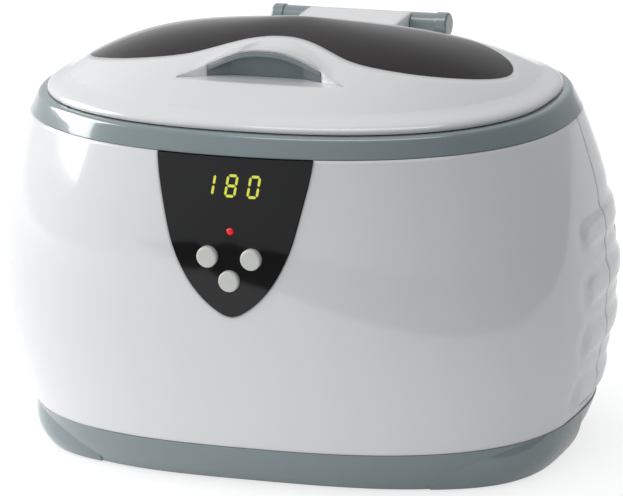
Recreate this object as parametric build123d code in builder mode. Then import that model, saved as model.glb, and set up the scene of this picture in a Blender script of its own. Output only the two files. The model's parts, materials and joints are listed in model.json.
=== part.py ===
from build123d import *
from math import cos, pi, sin, tan
import os

# Contact lens cleaner: a bench-top ultrasonic bath with a hinged domed lid.
#
# Millimetres.  The origin is on the table, under the middle of the housing.
# +Z is up, the control panel faces -Y, and +X is to the right of someone using it.

os.makedirs("parts", exist_ok=True)

# ---------------------------------------------------------------- driving dimensions
# Housing form: height, half width, half depth, roundness of each oval section.
foot_lift = 0.8            # rubber feet stand this far below the end plinths
tray_top = 14.9            # parting line between tray and shells
shell_top = 113.9          # parting line between shells and trim ring
ring_top = 120.5           # flat ledge that the lid closes on
bowl_half_width = 86.0
bowl_half_depth = 55.6
bowl_power = 3.0
bulge_height = 6.0         # the bowl's fullest section above its bottom
bulge_half_width = 90.4
bulge_half_depth = 60.6
body_sections = [
    (tray_top, 94.2, 64.6, 2.61),
    (39.6, 100.5, 70.8, 2.56),
    (64.4, 102.5, 72.5, 2.52),
    (89.1, 99.8, 70.2, 2.40),
    (shell_top, 93.2, 64.8, 2.25),
]
ring_half_width = 89.3     # outer edge of the trim ring's top
ring_half_depth = 62.1
ring_power = 2.36
plinth_sections = [        # height over the tray's underside, then the oval's sizes
    (0.0, 88.3, 54.0, 3.45),
    (3.6, 91.2, 55.0, 3.5),
    (14.1, 94.0, 58.0, 2.9),
]
plinth_inner = 58.0        # each front plinth starts this far from the middle
plinth_rear = 0.0          # and ends here

wall = 2.5                 # housing wall
tray_floor = 2.5
rim_flange = 2.5           # thickness of the shells' inward top flange
seam_y = 5.0               # parting plane between front and rear shells
fit_gap = 0.3              # shut line between shells
lip_height = 4.0           # tray's locating lip inside the shells
lip_wall = 1.6
lip_gap = 0.2

# Tank
tank_half_width = 77.5
tank_half_depth = 47.5
tank_power = 3.0
tank_depth = 56.0
tank_draft = 4.0           # the tank narrows by this much towards its floor
tank_wall = 0.8
tank_corner = 8.0
flange_width = 6.5
gasket_thickness = 0.6
flange_gap = 0.4           # between the tank's flange and the ring over it
tank_hole_gap = 2.5        # between the tank's wall and the shells' top flange

# Lid
lid_half_width = 86.6
lid_half_depth = 59.5
lid_power = 2.36
lid_gap = 0.4              # lid rim above the ring's ledge
rim_rise = 0.6
dome_rise = 22.65
dome_power = 1.483
dome_fall = 1.10
dome_spread = 1.148        # the dome stays fuller towards its ends
dome_lean = 0.307          # the dome leans towards the front
lid_wall = 2.5
hood_rise = 6.85
hood_sink = 0.35
hood_half_width = 29.0
hood_start = -17.5         # where the hood leaves the dome, on the centre line
hood_flare = 12.5          # how far the hood's start curve runs forward at its sides
hood_curve = 1.3
hood_edge = 2.4            # the two numbers that shape the hood's arch
hood_arch = 3.0
hood_bend = 12.0           # the face bends forward outside this half width
hood_top = 143.5           # prisms through the hood end above it
grip_plan = [              # end of the hood's face, the grip's mouth and its back corner
    (29.0, -39.2), (19.8, -35.3), (12.6, -32.5),
]
grip_bottom = 131.9        # level floor in front of the grip
grip_wall = 1.3
grip_lip = 1.7             # the grip's rim under the hood's edge
grip_roof = 0.5            # the lid's thickness over the grip
grip_floor = 1.5           # and under it
grip_gap = 0.15
hood_wall = 1.8
window_flange = 3.0
window_flange_thickness = 1.2
window_gap = 0.12
window_outline = [
    (0.0, -17.4), (10.4, -19.8), (19.1, -24.4), (27.5, -28.3), (38.0, -29.5),
    (50.0, -27.8), (61.0, -22.8), (70.0, -13.8), (73.4, -4.0), (70.5, 6.5),
    (62.0, 13.2), (45.0, 18.6), (24.0, 22.0), (0.0, 23.2),
]
liner_thickness = 1.6
liner_gap = 0.3
liner_skirt = 3.4          # splash lip that hangs inside the ring

# Hinge
hinge_y = 56.0
hinge_z = 128.8
barrel_radius = 3.8
tongue_half_width = 18.5
ear_width = 8.8
cap_width = 4.1
cap_radius = 4.2
hinge_side_gap = 0.3
pin_radius = 1.5
pin_gap = 0.1
pin_engagement = 12.0
notch_gap = 1.4            # lid notch beyond the end caps
notch_front = 50.5

# Control panel
panel_rows = [
    (shell_top, 26.7), (107.5, 25.8), (101.0, 24.4), (92.7, 22.4), (86.0, 20.5),
    (79.3, 17.6), (73.0, 13.8), (67.7, 9.1), (64.1, 4.4),
]
panel_tip = 62.5
panel_proud = 0.6
panel_gap = 0.15
panel_margin = 3.0         # carrier overlaps the panel's hole by this
carrier_thickness = 1.8
carrier_gap = 0.1
digit_height = 7.4
digit_width = 4.1
digit_pitch = 7.7
digit_middle_z = 104.9
digit_slant = 8.0
segment_width = 0.95
segment_gap = 0.22
segment_depth = 0.5
led_z = 90.4
led_radius = 1.25
led_proud = 0.4
button_radius = 3.5
button_spread = 7.55
button_upper_z = 82.0
button_lower_z = 74.5
button_proud = 1.5
button_travel = 0.6
button_gap = 0.2
button_flange = 1.2
button_seat_gap = 1.0      # between a button's flange and the curved carrier, on its axis
switch_size = 6.0
switch_height = 3.5

# Side gills
gill_tops = [85.0, 66.5, 48.5, 29.5]
gill_height = 12.5
gill_front = -16.0
gill_rear = 44.0
gill_proud = 0.7
slit_height = 1.5
slit_front = 22.0
slit_rear = 46.0
slit_inner = 78.0          # slits cut only the end walls, outside this half width

# Mains inlet, boards and drive
gland_z = 30.0
gland_radius = 5.5
gland_bore = 3.2
gland_flange = 8.0
gland_collar = 3.4         # the collar stands as far back as the buttons stand forward
board_thickness = 1.6
board_standoff = 8.0
screw_radius = 1.5
screw_head_radius = 3.0
post_x = 60.0
post_y = 42.0
post_radius = 4.5
post_height = 22.0
horn_top_radius = 23.0
transducer_front = 16.0
piezo_radius = 19.0
piezo_thickness = 5.0
electrode_thickness = 0.4
back_mass_height = 18.0
back_mass_radius = 18.0

# Housing fixings
ring_screw_x = 35.0
ring_screw_radius = 1.25
ring_screw_margin = 3.2    # from the tank's flange to the screws that hold the ring
inlet_pad_proud = 1.8
inlet_pad_length = 8.8
inlet_pad_margin = 1.5
inlet_gap = 0.1
rib_reach = 1.5            # the ribs aim past the wall, which trims them
gland_thread = 6.0
nut_thickness = 4.0
gland_round = 0.8

# Base tray, feet and drive board
bulge_power = 2.75
foot_radius = 7.0
foot_thickness = 3.0
foot_x = 70.0
foot_y = 30.0
foot_gap = 0.1
screw_recess = 5.0
screw_recess_gap = 0.4
vent_length = 34.0
vent_width = 2.4
vent_pitch = 7.0
vent_count = 5
board_x = -55.0            # middle of the drive board
board_half_width = 25.0
board_half_depth = 34.0
board_hole_x = 20.0
board_hole_y = 29.0
standoff_radius = 3.2
standoff_root = 0.5
base_screw_length = 26.0
base_screw_head = 2.4
foot_chamfer = 0.4
cross_width = 0.8           # the cross slot in a screw head
cross_length = 4.0
cross_depth = 1.0

# Trim ring fixings
flange_side_gap = 0.5
ring_screw_head = 2.2
ring_screw_head_height = 1.5
ring_screw_tip = 0.5
cap_round = 0.9

# Lid fixings
lid_screw_spots = [(40.0, -46.0), (74.0, -22.0), (48.0, 39.0)]
lid_boss_radius = 3.0
lid_screw_radius = 1.1
lid_screw_length = 3.4
lid_screw_head = 2.1
lid_screw_head_height = 0.9
tongue_front = 33.0
tongue_bottom = 123.5
tongue_top = 131.9
skirt_gap = 1.8
skirt_wall = 1.4
bumper_radius = 1.1
bumper_gap = 0.05
bumper_x = 66.0
bumper_y = 42.3
surface_depth = 60.0       # solids under the lid surfaces reach this far down
span_margin = 4.0          # and this far past their edges
dome_step = 6.0            # spacing of the grids that carry the surfaces
hood_step = 2.5
window_points = 48         # points on a grown copy of the window's outline

# Basket
basket_wall = 1.8
basket_foot_height = 4.0
basket_floor_half_width = 63.0
basket_floor_half_depth = 33.5
basket_top_half_width = 70.0
basket_top_half_depth = 40.5
basket_rim = 2.0
basket_slot_length = 20.0
basket_slot_width = 3.0
basket_slot_pitch = 7.0
basket_slot_rows = 7
basket_slot_columns = 4
handle_height = 9.0
handle_half_depth = 14.0
basket_foot_x = 48.0
basket_foot_y = 22.0
basket_foot_radius = 3.0
side_slot_pitch = 10.5
side_slot_count = 11
handle_bar = 3.0

# Control board
board_y = -58.0
control_board_thickness = 1.6
control_board_half_width = 19.0
control_board_low = 65.5
control_board_high = 110.0
carrier_post_radius = 1.8
carrier_post_places = [(-16.0, 96.0), (16.0, 96.0), (0.0, 67.8)]
panel_prism_depth = 40.0
button_rest_gap = 0.1
button_round = 0.7
led_round = 0.85
display_half_width = 13.0
display_thickness = 1.3
display_below = 6.0
display_above = 4.8
panel_screw_radius = 0.8
panel_screw_head = 1.8
panel_screw_head_height = 1.2
panel_screw_thread = 3.0
panel_screw_pilot = 3.5
plunger_radius = 1.7
plunger_height = 1.0

# Mains inlet and drive parts
fin_count = 5
fin_pitch = 4.0
fin_thickness = 1.2
fin_height = 18.0
sink_length = 34.0
sink_base = 3.0
core_x = 56.0
core_half_width = 17.0
core_half_depth = 20.0
core_height = 30.0
coil_half_width = 22.0
coil_half_depth = 11.5
coil_low = 5.0
board_screw_head = 2.6
board_screw_head_height = 1.6
sink_margin = 4.0
transistor_y = 9.0
transistor_width = 10.0
transistor_height = 15.0
transistor_thickness = 4.5
capacitor_x = 12.0
capacitor_sizes = [(-19.0, 8.0, 22.0), (19.0, 6.5, 18.0)]
capacitor_round = 0.8
fuse_shift = 11.0
fuse_y = 0.0
fuse_rise = 3.4
fuse_length = 20.0
fuse_radius = 2.3
fuse_cap = 4.0
fuse_clip = 2.8
core_leg = 4.0
coil_round = 4.0

# Transducer parts
bolt_radius = 4.0
bolt_head_radius = 6.5
bolt_head_height = 5.0
bolt_engagement = 9.0
piezo_gap = 0.8
tab_half_width = 3.0
tab_root = 1.0
tab_reach = 7.0
back_mass_chamfer = 0.8

# Shared clearances
ring_inner_gap = 1.5
far = 200.0

# ---------------------------------------------------------------- worked-out places
gasket_top = shell_top + gasket_thickness
flange_top = gasket_top + tank_wall
tank_floor_top = flange_top - tank_depth
tank_underside = tank_floor_top - tank_wall
lid_base = ring_top + lid_gap
panel_prism_start = body_sections[-1][2] - panel_prism_depth / 2
hinge_ear_inner = tongue_half_width + hinge_side_gap
hinge_ear_outer = hinge_ear_inner + ear_width
hinge_cap_outer = hinge_ear_outer + cap_width
notch_half_width = hinge_cap_outer + notch_gap
inside_floor = foot_lift + tray_floor


# ---------------------------------------------------------------- shared shapes
def oval(half_width, half_depth, power, count=28):
    """Add the face of |x/a|^n + |y/b|^n = 1 to the sketch in progress."""
    ring = []
    for step in range(count):
        turn = 2 * pi * step / count
        c, s = cos(turn), sin(turn)
        reach = (abs(c) ** power + abs(s) ** power) ** (-1 / power)
        ring.append((half_width * c * reach, half_depth * s * reach))
    with BuildLine() as edge:
        Spline(*ring, periodic=True)
    make_face(edge.edges())


def oval_form(sections, grow=0.0):
    """A solid lofted through oval sections, each grown sideways by the same amount."""
    with BuildPart() as form:
        for z, half_width, half_depth, power in sections:
            with BuildSketch(Plane.XY.offset(z)):
                oval(half_width + grow, half_depth + grow, power)
        loft()
    return form.part


def front_depth(z):
    """Distance of the housing's front from the middle plane, at a height."""
    depth = 0.0
    for z_here, _, b_here, _ in body_sections:
        share = 1.0
        for z_other, _, _, _ in body_sections:
            if z_other != z_here:
                share *= (z - z_other) / (z_here - z_other)
        depth += b_here * share
    return depth


def oval_block(half_width, half_depth, power, bottom, top):
    """A straight oval block between two heights."""
    with BuildPart() as form:
        with BuildSketch(Plane.XY.offset(bottom)):
            oval(half_width, half_depth, power)
        extrude(amount=top - bottom)
    return form.part


def block(x0, x1, y0, y1, z0, z1):
    """A box given by its faces."""
    with BuildPart() as form:
        with Locations(((x0 + x1) / 2, (y0 + y1) / 2, (z0 + z1) / 2)):
            Box(x1 - x0, y1 - y0, z1 - z0)
    return form.part


def dome_height(x, y):
    """Height of the lid's outer surface over the table."""
    reach = (abs(x / lid_half_width) ** lid_power
             + abs(y / lid_half_depth) ** lid_power) ** (1 / lid_power)
    left = 1 - reach ** dome_power
    rise = abs(left) ** dome_fall * (1 if left > 0 else -1)
    shape = 1 + dome_spread * (x / lid_half_width) ** 2 - dome_lean * y / lid_half_depth
    return lid_base + rim_rise + dome_rise * rise * shape


def hood_height(x, y):
    """Height of the bulge over the finger grip, which dips below the dome around it."""
    side = min(abs(x) / hood_half_width, 1.0)
    arch = (1 - side ** hood_edge) ** hood_arch
    bend = max((abs(x) - hood_bend) / (hood_half_width - hood_bend), 0.0) ** 2
    start = hood_start - hood_flare * (1 - cos(pi * side)) / 2
    front = grip_plan[1][1] + (grip_plan[0][1] - grip_plan[1][1]) * bend
    along = max((start - y) / (start - front), 0.0)
    bulge = hood_rise * arch * along ** hood_curve
    return dome_height(x, y) + bulge - hood_sink


def below(height, x_span, y_span, step, drop=0.0):
    """Everything under a surface given as height(x, y), moved down by drop."""
    x_count = round((x_span[1] - x_span[0]) / step)
    y_count = round((y_span[1] - y_span[0]) / step)
    grid = []
    for i in range(x_count + 1):
        x = x_span[0] + (x_span[1] - x_span[0]) * i / x_count
        row = []
        for j in range(y_count + 1):
            y = y_span[0] + (y_span[1] - y_span[0]) * j / y_count
            row.append(Vector(x, y, height(x, y) - drop))
        grid.append(row)
    surface = Face.make_surface_from_array_of_points(grid)
    with BuildPart() as form:
        extrude(to_extrude=surface, amount=surface_depth, dir=(0, 0, -1))
    return form.part


def across(outline, x_half):
    """A (y, z) polygon extruded both ways along X."""
    with BuildPart() as form:
        with BuildSketch(Plane.YZ):
            with BuildLine() as edge:
                Polyline(*outline, close=True)
            make_face(edge.edges())
        extrude(amount=x_half, both=True)
    return form.part


def rod(radius, start, end):
    """A straight round bar between two points."""
    axis = Plane(origin=start, z_dir=Vector(*end) - Vector(*start))
    with BuildPart() as form:
        with BuildSketch(axis):
            Circle(radius)
        extrude(amount=(Vector(*end) - Vector(*start)).length)
    return form.part


def shield(grow, top):
    """The control panel's outline as a prism through the front of the housing."""
    right = [(w + grow, min(z, top)) for z, w in panel_rows]
    left = [(-x, z) for x, z in right]
    with BuildPart() as form:
        with BuildSketch(Plane.XZ.offset(panel_prism_start)):
            with BuildLine() as edge:
                side = Spline(*right, (0, panel_tip - grow), *reversed(left))
                Line(side @ 0, side @ 1)
            make_face(edge.edges())
        extrude(amount=panel_prism_depth)
    return form.part


# ---------------------------------------------------------------- housing shells
body_form = oval_form(body_sections)
body_inside = oval_form(body_sections, -wall)
post_places = [(sx * post_x, sy * post_y) for sx in (-1, 1) for sy in (-1, 1)]
flange_underside = shell_top - rim_flange
ring_screw_y = tank_half_depth + flange_width + ring_screw_margin
ring_screw_places = [(sx * ring_screw_x, sy * ring_screw_y) for sx in (-1, 1) for sy in (-1, 1)]
inlet_rear = front_depth(gland_z) + inlet_pad_proud
inlet_front = inlet_rear - inlet_pad_length
inlet_pad_radius = gland_flange + inlet_pad_margin

with BuildPart() as gill_bands:
    with BuildSketch(Plane.YZ):
        for top in gill_tops:
            with Locations(((gill_front + gill_rear) / 2, top - gill_height / 2)):
                SlotOverall(gill_rear - gill_front, gill_height)
    extrude(amount=far, both=True)

with BuildPart() as gills:
    add(oval_form(body_sections, gill_proud))
    add(gill_bands.part, mode=Mode.INTERSECT)

with BuildPart() as shell_posts:
    for x, y in post_places:
        with Locations((x, y, tray_top)):
            Cylinder(post_radius, post_height, align=(Align.CENTER, Align.CENTER, Align.MIN))
        with BuildSketch(Plane.XY.offset(tray_top + lip_height + lip_gap)):
            with BuildLine() as web:
                Line((x, y), (x * rib_reach, y * rib_reach))
            trace(web.edges(), line_width=wall)
        extrude(amount=post_height - lip_height - lip_gap)
    add(body_form, mode=Mode.INTERSECT)

with BuildPart() as housing:
    add(body_form)
    add(gills.part)
    add(body_inside & block(-far, far, -far, far, 0, flange_underside), mode=Mode.SUBTRACT)
    add(oval_block(tank_half_width + tank_hole_gap, tank_half_depth + tank_hole_gap,
                   tank_power, flange_underside - wall, shell_top + wall), mode=Mode.SUBTRACT)
    add(shell_posts.part)
    with Locations([(x, y, tray_top) for x, y in post_places]):
        Cylinder(screw_radius, post_height - wall,
                 align=(Align.CENTER, Align.CENTER, Align.MIN), mode=Mode.SUBTRACT)
    with Locations([(x, y, flange_underside) for x, y in ring_screw_places]):
        Cylinder(ring_screw_radius, 2 * rim_flange, mode=Mode.SUBTRACT)
    add(rod(inlet_pad_radius, (0, inlet_front, gland_z), (0, inlet_rear, gland_z)))
    add(rod(gland_radius + inlet_gap, (0, 0, gland_z), (0, far, gland_z)), mode=Mode.SUBTRACT)

with BuildPart() as front_shell:
    add(housing.part)
    add(block(-far, far, seam_y - fit_gap / 2, far, -far, far), mode=Mode.SUBTRACT)
    add(shield(panel_gap, shell_top) - body_inside, mode=Mode.SUBTRACT)
front_shell.part.label = "front_shell"
export_step(front_shell.part, "parts/front_shell.step")

with BuildPart() as rear_shell:
    add(housing.part)
    add(block(-far, far, -far, seam_y + fit_gap / 2, -far, far), mode=Mode.SUBTRACT)
    for upper in gill_tops[:-1]:
        slit_z = upper - gill_height - slit_height
        for side in (-1, 1):
            add(block(min(side * slit_inner, side * far), max(side * slit_inner, side * far),
                      slit_front, slit_rear, slit_z, slit_z + slit_height), mode=Mode.SUBTRACT)
rear_shell.part.label = "rear_shell"
export_step(rear_shell.part, "parts/rear_shell.step")

# ---------------------------------------------------------------- base tray and feet
top_half_width = body_sections[0][1]
top_half_depth = body_sections[0][2]
top_power = body_sections[0][3]
tray_sections = [
    (foot_lift, bowl_half_width, bowl_half_depth, bowl_power),
    (foot_lift + bulge_height, bulge_half_width, bulge_half_depth, bulge_power),
    (tray_top, top_half_width, top_half_depth, top_power),
]
foot_places = [(sx * foot_x, sy * foot_y) for sx in (-1, 1) for sy in (-1, 1)]
standoff_places = [(board_x + sx * board_hole_x, sy * board_hole_y)
                   for sx in (-1, 1) for sy in (-1, 1)]
board_bottom = inside_floor + board_standoff

lip_outer = wall + lip_gap

with BuildPart() as tray_inside:
    add(oval_form([(inside_floor, bowl_half_width, bowl_half_depth, bowl_power)]
                  + tray_sections[1:], -wall))

with BuildPart() as tray_cuts:
    with Locations([(x, y, foot_lift) for x, y in post_places]):
        Cylinder(screw_head_radius + screw_recess_gap, screw_recess,
                 align=(Align.CENTER, Align.CENTER, Align.MIN))
        Cylinder(screw_radius, tray_top, align=(Align.CENTER, Align.CENTER, Align.MIN))
    with Locations([(x, y, foot_lift) for x, y in foot_places]):
        Cylinder(foot_radius + foot_gap, foot_thickness - foot_lift,
                 align=(Align.CENTER, Align.CENTER, Align.MIN))
    with BuildSketch(Plane.XY):
        with GridLocations(far, vent_pitch, 1, vent_count):
            SlotOverall(vent_length, vent_width)
    extrude(amount=inside_floor)

with BuildPart() as plinths:
    add(oval_form([(foot_lift + rise, *sizes) for rise, *sizes in plinth_sections]))
    add(block(-plinth_inner, plinth_inner, -far, far, -far, far), mode=Mode.SUBTRACT)
    add(block(-far, far, plinth_rear, far, -far, far), mode=Mode.SUBTRACT)

with BuildPart() as base_tray:
    add(oval_form(tray_sections))
    add(plinths.part)
    add(tray_inside.part, mode=Mode.SUBTRACT)
    add(oval_block(top_half_width - lip_outer, top_half_depth - lip_outer, top_power,
                   tray_top - wall, tray_top + lip_height)
        - oval_block(top_half_width - lip_outer - lip_wall, top_half_depth - lip_outer - lip_wall,
                     top_power, 0, far))
    with Locations([(x, y, inside_floor - tray_floor / 2) for x, y in post_places]):
        Cylinder(post_radius, tray_top - inside_floor + tray_floor / 2,
                 align=(Align.CENTER, Align.CENTER, Align.MIN))
    with Locations([(x, y, inside_floor - standoff_root) for x, y in standoff_places]):
        Cylinder(standoff_radius, board_standoff + standoff_root,
                 align=(Align.CENTER, Align.CENTER, Align.MIN))
    add(tray_cuts.part, mode=Mode.SUBTRACT)
base_tray.part.label = "base_tray"
export_step(base_tray.part, "parts/base_tray.step")

with BuildPart() as rubber_feet:
    with Locations([(x, y, 0) for x, y in foot_places]):
        Cylinder(foot_radius, foot_thickness, align=(Align.CENTER, Align.CENTER, Align.MIN))
    chamfer(rubber_feet.faces().group_by(Axis.Z)[0].edges(), foot_chamfer)
rubber_feet.part.label = "rubber_feet"
export_step(rubber_feet.part, "parts/rubber_feet.step")

head_seat = foot_lift + screw_recess
with BuildPart() as base_screws:
    for x, y in post_places:
        with Locations((x, y, head_seat)):
            Cylinder(screw_radius, base_screw_length,
                     align=(Align.CENTER, Align.CENTER, Align.MIN))
            Cylinder(screw_head_radius, base_screw_head,
                     align=(Align.CENTER, Align.CENTER, Align.MAX))
        with Locations((x, y, head_seat - base_screw_head)):
            Box(cross_width, cross_length, cross_depth,
                align=(Align.CENTER, Align.CENTER, Align.MIN), mode=Mode.SUBTRACT)
            Box(cross_length, cross_width, cross_depth,
                align=(Align.CENTER, Align.CENTER, Align.MIN), mode=Mode.SUBTRACT)
base_screws.part.label = "base_screws"
export_step(base_screws.part, "parts/base_screws.step")

# ---------------------------------------------------------------- tank
tank_floor_half_width = tank_half_width - tank_draft
tank_floor_half_depth = tank_half_depth - tank_draft
tank_sections = [
    (tank_floor_top, tank_floor_half_width, tank_floor_half_depth, tank_power),
    (flange_top, tank_half_width, tank_half_depth, tank_power),
]
with BuildPart() as tank_inside:
    add(oval_form(tank_sections))
    fillet(tank_inside.faces().sort_by(Axis.Z)[0].edges(), tank_corner)

with BuildPart() as tank:
    add(oval_form([(tank_underside,) + tank_sections[0][1:], tank_sections[1]], tank_wall))
    fillet(tank.faces().sort_by(Axis.Z)[0].edges(), tank_corner + tank_wall)
    add(oval_block(tank_half_width + flange_width, tank_half_depth + flange_width, tank_power,
                   gasket_top, flange_top))
    add(tank_inside.part, mode=Mode.SUBTRACT)
tank.part.label = "tank"
export_step(tank.part, "parts/tank.step")

with BuildPart() as tank_gasket:
    add(oval_block(tank_half_width + flange_width, tank_half_depth + flange_width, tank_power,
                   shell_top, gasket_top))
    add(oval_block(tank_half_width + tank_hole_gap, tank_half_depth + tank_hole_gap,
                   tank_power, 0, far), mode=Mode.SUBTRACT)
tank_gasket.part.label = "tank_gasket"
export_step(tank_gasket.part, "parts/tank_gasket.step")

# ---------------------------------------------------------------- trim ring and hinge
opening_half_width = tank_half_width + ring_inner_gap
opening_half_depth = tank_half_depth + ring_inner_gap
with BuildPart() as top_trim_ring:
    add(oval_form([body_sections[-1], (ring_top, ring_half_width, ring_half_depth, ring_power)]))
    add(oval_block(tank_half_width + flange_width + flange_side_gap,
                   tank_half_depth + flange_width + flange_side_gap, tank_power,
                   0, flange_top + flange_gap), mode=Mode.SUBTRACT)
    add(oval_block(opening_half_width, opening_half_depth, tank_power, 0, far),
        mode=Mode.SUBTRACT)
    for side in (-1, 1):
        with BuildSketch(Plane.YZ.offset(side * hinge_ear_inner)):
            with Locations((hinge_y, (ring_top + hinge_z) / 2 - wall / 2)):
                Rectangle(2 * barrel_radius, hinge_z - ring_top + wall)
            with Locations((hinge_y, hinge_z)):
                Circle(barrel_radius)
                Circle(pin_radius, mode=Mode.SUBTRACT)
        extrude(amount=side * ear_width)
    with Locations([(x, y, shell_top) for x, y in ring_screw_places]):
        Cylinder(ring_screw_radius, 2 * (ring_top - shell_top - wall), mode=Mode.SUBTRACT)
top_trim_ring.part.label = "top_trim_ring"
export_step(top_trim_ring.part, "parts/top_trim_ring.step")

with BuildPart() as ring_screws:
    for x, y in ring_screw_places:
        with Locations((x, y, flange_underside)):
            Cylinder(ring_screw_radius, rim_flange + ring_top - shell_top - wall - ring_screw_tip,
                     align=(Align.CENTER, Align.CENTER, Align.MIN))
            Cylinder(ring_screw_head, ring_screw_head_height,
                     align=(Align.CENTER, Align.CENTER, Align.MAX))
ring_screws.part.label = "ring_screws"
export_step(ring_screws.part, "parts/ring_screws.step")

for side, word in ((-1, "left"), (1, "right")):
    with BuildPart() as hinge_pin:
        add(rod(pin_radius, (side * (tongue_half_width - pin_engagement), hinge_y, hinge_z),
                (side * (hinge_cap_outer - cap_width / 2), hinge_y, hinge_z)))
    hinge_pin.part.label = f"hinge_pin_{word}"
    export_step(hinge_pin.part, f"parts/hinge_pin_{word}.step")

    with BuildPart() as hinge_cap:
        with BuildSketch(Plane.YZ.offset(side * hinge_ear_outer)):
            with Locations((hinge_y, hinge_z)):
                Circle(cap_radius)
        extrude(amount=side * cap_width)
        outer_face = hinge_cap.faces().filter_by(Axis.X).sort_by(Axis.X)[-1 if side > 0 else 0]
        fillet(outer_face.edges(), cap_round)
        add(rod(pin_radius, (side * hinge_ear_outer, hinge_y, hinge_z),
                (side * (hinge_cap_outer - cap_width / 2), hinge_y, hinge_z)),
            mode=Mode.SUBTRACT)
    hinge_cap.part.label = f"hinge_cap_{word}"
    export_step(hinge_cap.part, f"parts/hinge_cap_{word}.step")

# ---------------------------------------------------------------- lid
face_end_x, face_end_y = grip_plan[0]
grip_mouth, face_y = grip_plan[1]
dome_span = ((-lid_half_width - span_margin, lid_half_width + span_margin),
             (-lid_half_depth - span_margin, lid_half_depth + span_margin))
hood_span = ((-hood_half_width - span_margin, hood_half_width + span_margin),
             (face_end_y - span_margin, hood_start + 1.5 * span_margin))
hood_floor = lid_base + rim_rise + lid_wall
hood_back = hood_start + span_margin / 2


def under_dome(drop=0.0):
    """The space under the lid's dome, moved down by drop."""
    return below(dome_height, dome_span[0], dome_span[1], dome_step, drop)


def under_hood(drop=0.0):
    """The space under the hood's top, moved down by drop."""
    return below(hood_height, hood_span[0], hood_span[1], hood_step, drop)


def prism(half_outline, bottom, grow=0.0):
    """A plan given by its right half, mirrored, grown sideways and raised past the hood."""
    with BuildPart() as form:
        with BuildSketch(Plane.XY.offset(bottom)):
            with BuildLine() as edge:
                Polyline(*half_outline, *[(-x, y) for x, y in reversed(half_outline)],
                         close=True)
            make_face(edge.edges())
            if grow:
                offset(amount=grow, kind=Kind.INTERSECTION)
        extrude(amount=hood_top - bottom)
    return form.part


def window_prism(grow):
    """The window's wavy outline, grown sideways by the same amount, as a tall prism."""
    left = [(-x, y) for x, y in window_outline[1:-1]]
    with BuildLine() as plain:
        Spline(*window_outline, *reversed(left), periodic=True)
    outline = plain.edges()[0]
    ring = []
    for step in range(window_points):
        spot = outline.position_at(step / window_points)
        run = outline.tangent_at(step / window_points)
        ring.append((spot.X + grow * run.Y, spot.Y - grow * run.X))
    with BuildPart() as form:
        with BuildSketch(Plane.XY.offset(lid_base)):
            with BuildLine() as edge:
                Spline(*ring, periodic=True)
            make_face(edge.edges())
        extrude(amount=surface_depth)
    return form.part


notch = block(-notch_half_width, notch_half_width, notch_front, far, 0, far)
notch_wall = block(-notch_half_width - wall, notch_half_width + wall, notch_front - wall, far,
                   0, far)
liner_bottom = lid_base + liner_gap
liner_top = liner_bottom + liner_thickness
liner_inset = lid_wall + liner_gap
lid_screw_places = [(side * x, y) for side in (-1, 1) for x, y in lid_screw_spots]

hood_outline = [grip_plan[1], grip_plan[0], (face_end_x, hood_back)]
grip_outline = [*reversed(grip_plan), (face_end_x, face_end_y - 0.75 * span_margin)]
hood_prism = prism(hood_outline, hood_floor)
grip_room = prism(grip_outline, grip_bottom)
grip_block = prism(grip_outline, grip_bottom - grip_floor, grip_wall + grip_gap + grip_floor)
grip_zone = block(-grip_mouth, grip_mouth, face_y, 0, grip_bottom, hood_top)
grip_pocket_zone = block(-grip_mouth - grip_gap, grip_mouth + grip_gap, face_end_y, 0,
                         grip_bottom, hood_top)

hood_room = under_hood() & hood_prism
hood_inside = (under_hood(hood_wall)
               & block(hood_wall - hood_half_width, hood_half_width - hood_wall, face_end_y,
                       hood_back, hood_floor, hood_top))
dome_inside = (under_dome(lid_wall)
               & oval_block(lid_half_width - lid_wall, lid_half_depth - lid_wall, lid_power,
                            lid_base - lid_gap, far))

with BuildPart() as lid_bosses:
    with Locations([(x, y, liner_top) for x, y in lid_screw_places]):
        Cylinder(lid_boss_radius, 2 * lid_wall, align=(Align.CENTER, Align.CENTER, Align.MIN))

with BuildPart() as lid_shell:
    add(oval_block(lid_half_width, lid_half_depth, lid_power, lid_base, far))
    add(under_dome(), mode=Mode.INTERSECT)
    add(hood_room)
    add(notch, mode=Mode.SUBTRACT)
    add((dome_inside + hood_inside) - notch_wall - grip_block, mode=Mode.SUBTRACT)
    add(across([(tongue_front, tongue_bottom), (tongue_front, tongue_top),
                (hinge_y, hinge_z + barrel_radius), (hinge_y, hinge_z - barrel_radius),
                (notch_front, tongue_bottom)], tongue_half_width))
    add(rod(barrel_radius, (-tongue_half_width, hinge_y, hinge_z),
            (tongue_half_width, hinge_y, hinge_z)))
    for side in (-1, 1):
        add(rod(pin_radius + pin_gap,
                (side * (tongue_half_width - pin_engagement - pin_gap), hinge_y, hinge_z),
                (side * (tongue_half_width + pin_gap), hinge_y, hinge_z)), mode=Mode.SUBTRACT)
    add(window_prism(0), mode=Mode.SUBTRACT)
    add(lid_bosses.part & under_dome(lid_wall / 2))
    with Locations([(x, y, liner_top) for x, y in lid_screw_places]):
        Cylinder(lid_screw_radius, lid_screw_length - liner_thickness,
                 align=(Align.CENTER, Align.CENTER, Align.MIN), mode=Mode.SUBTRACT)
    add(grip_room - hood_prism, mode=Mode.SUBTRACT)
    add(prism(grip_outline, grip_bottom, grip_wall + grip_gap) & under_hood(grip_roof)
        & grip_pocket_zone, mode=Mode.SUBTRACT)
lid_shell.part.label = "lid_shell"
export_step(lid_shell.part, "parts/lid_shell.step")

with BuildPart() as lid_window:
    add(window_prism(-window_gap) & under_dome())
    add(window_prism(window_flange) & under_dome(lid_wall + grip_gap))
    add(under_dome(lid_wall + grip_gap + window_flange_thickness), mode=Mode.SUBTRACT)
lid_window.part.label = "lid_window"
export_step(lid_window.part, "parts/lid_window.step")

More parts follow.
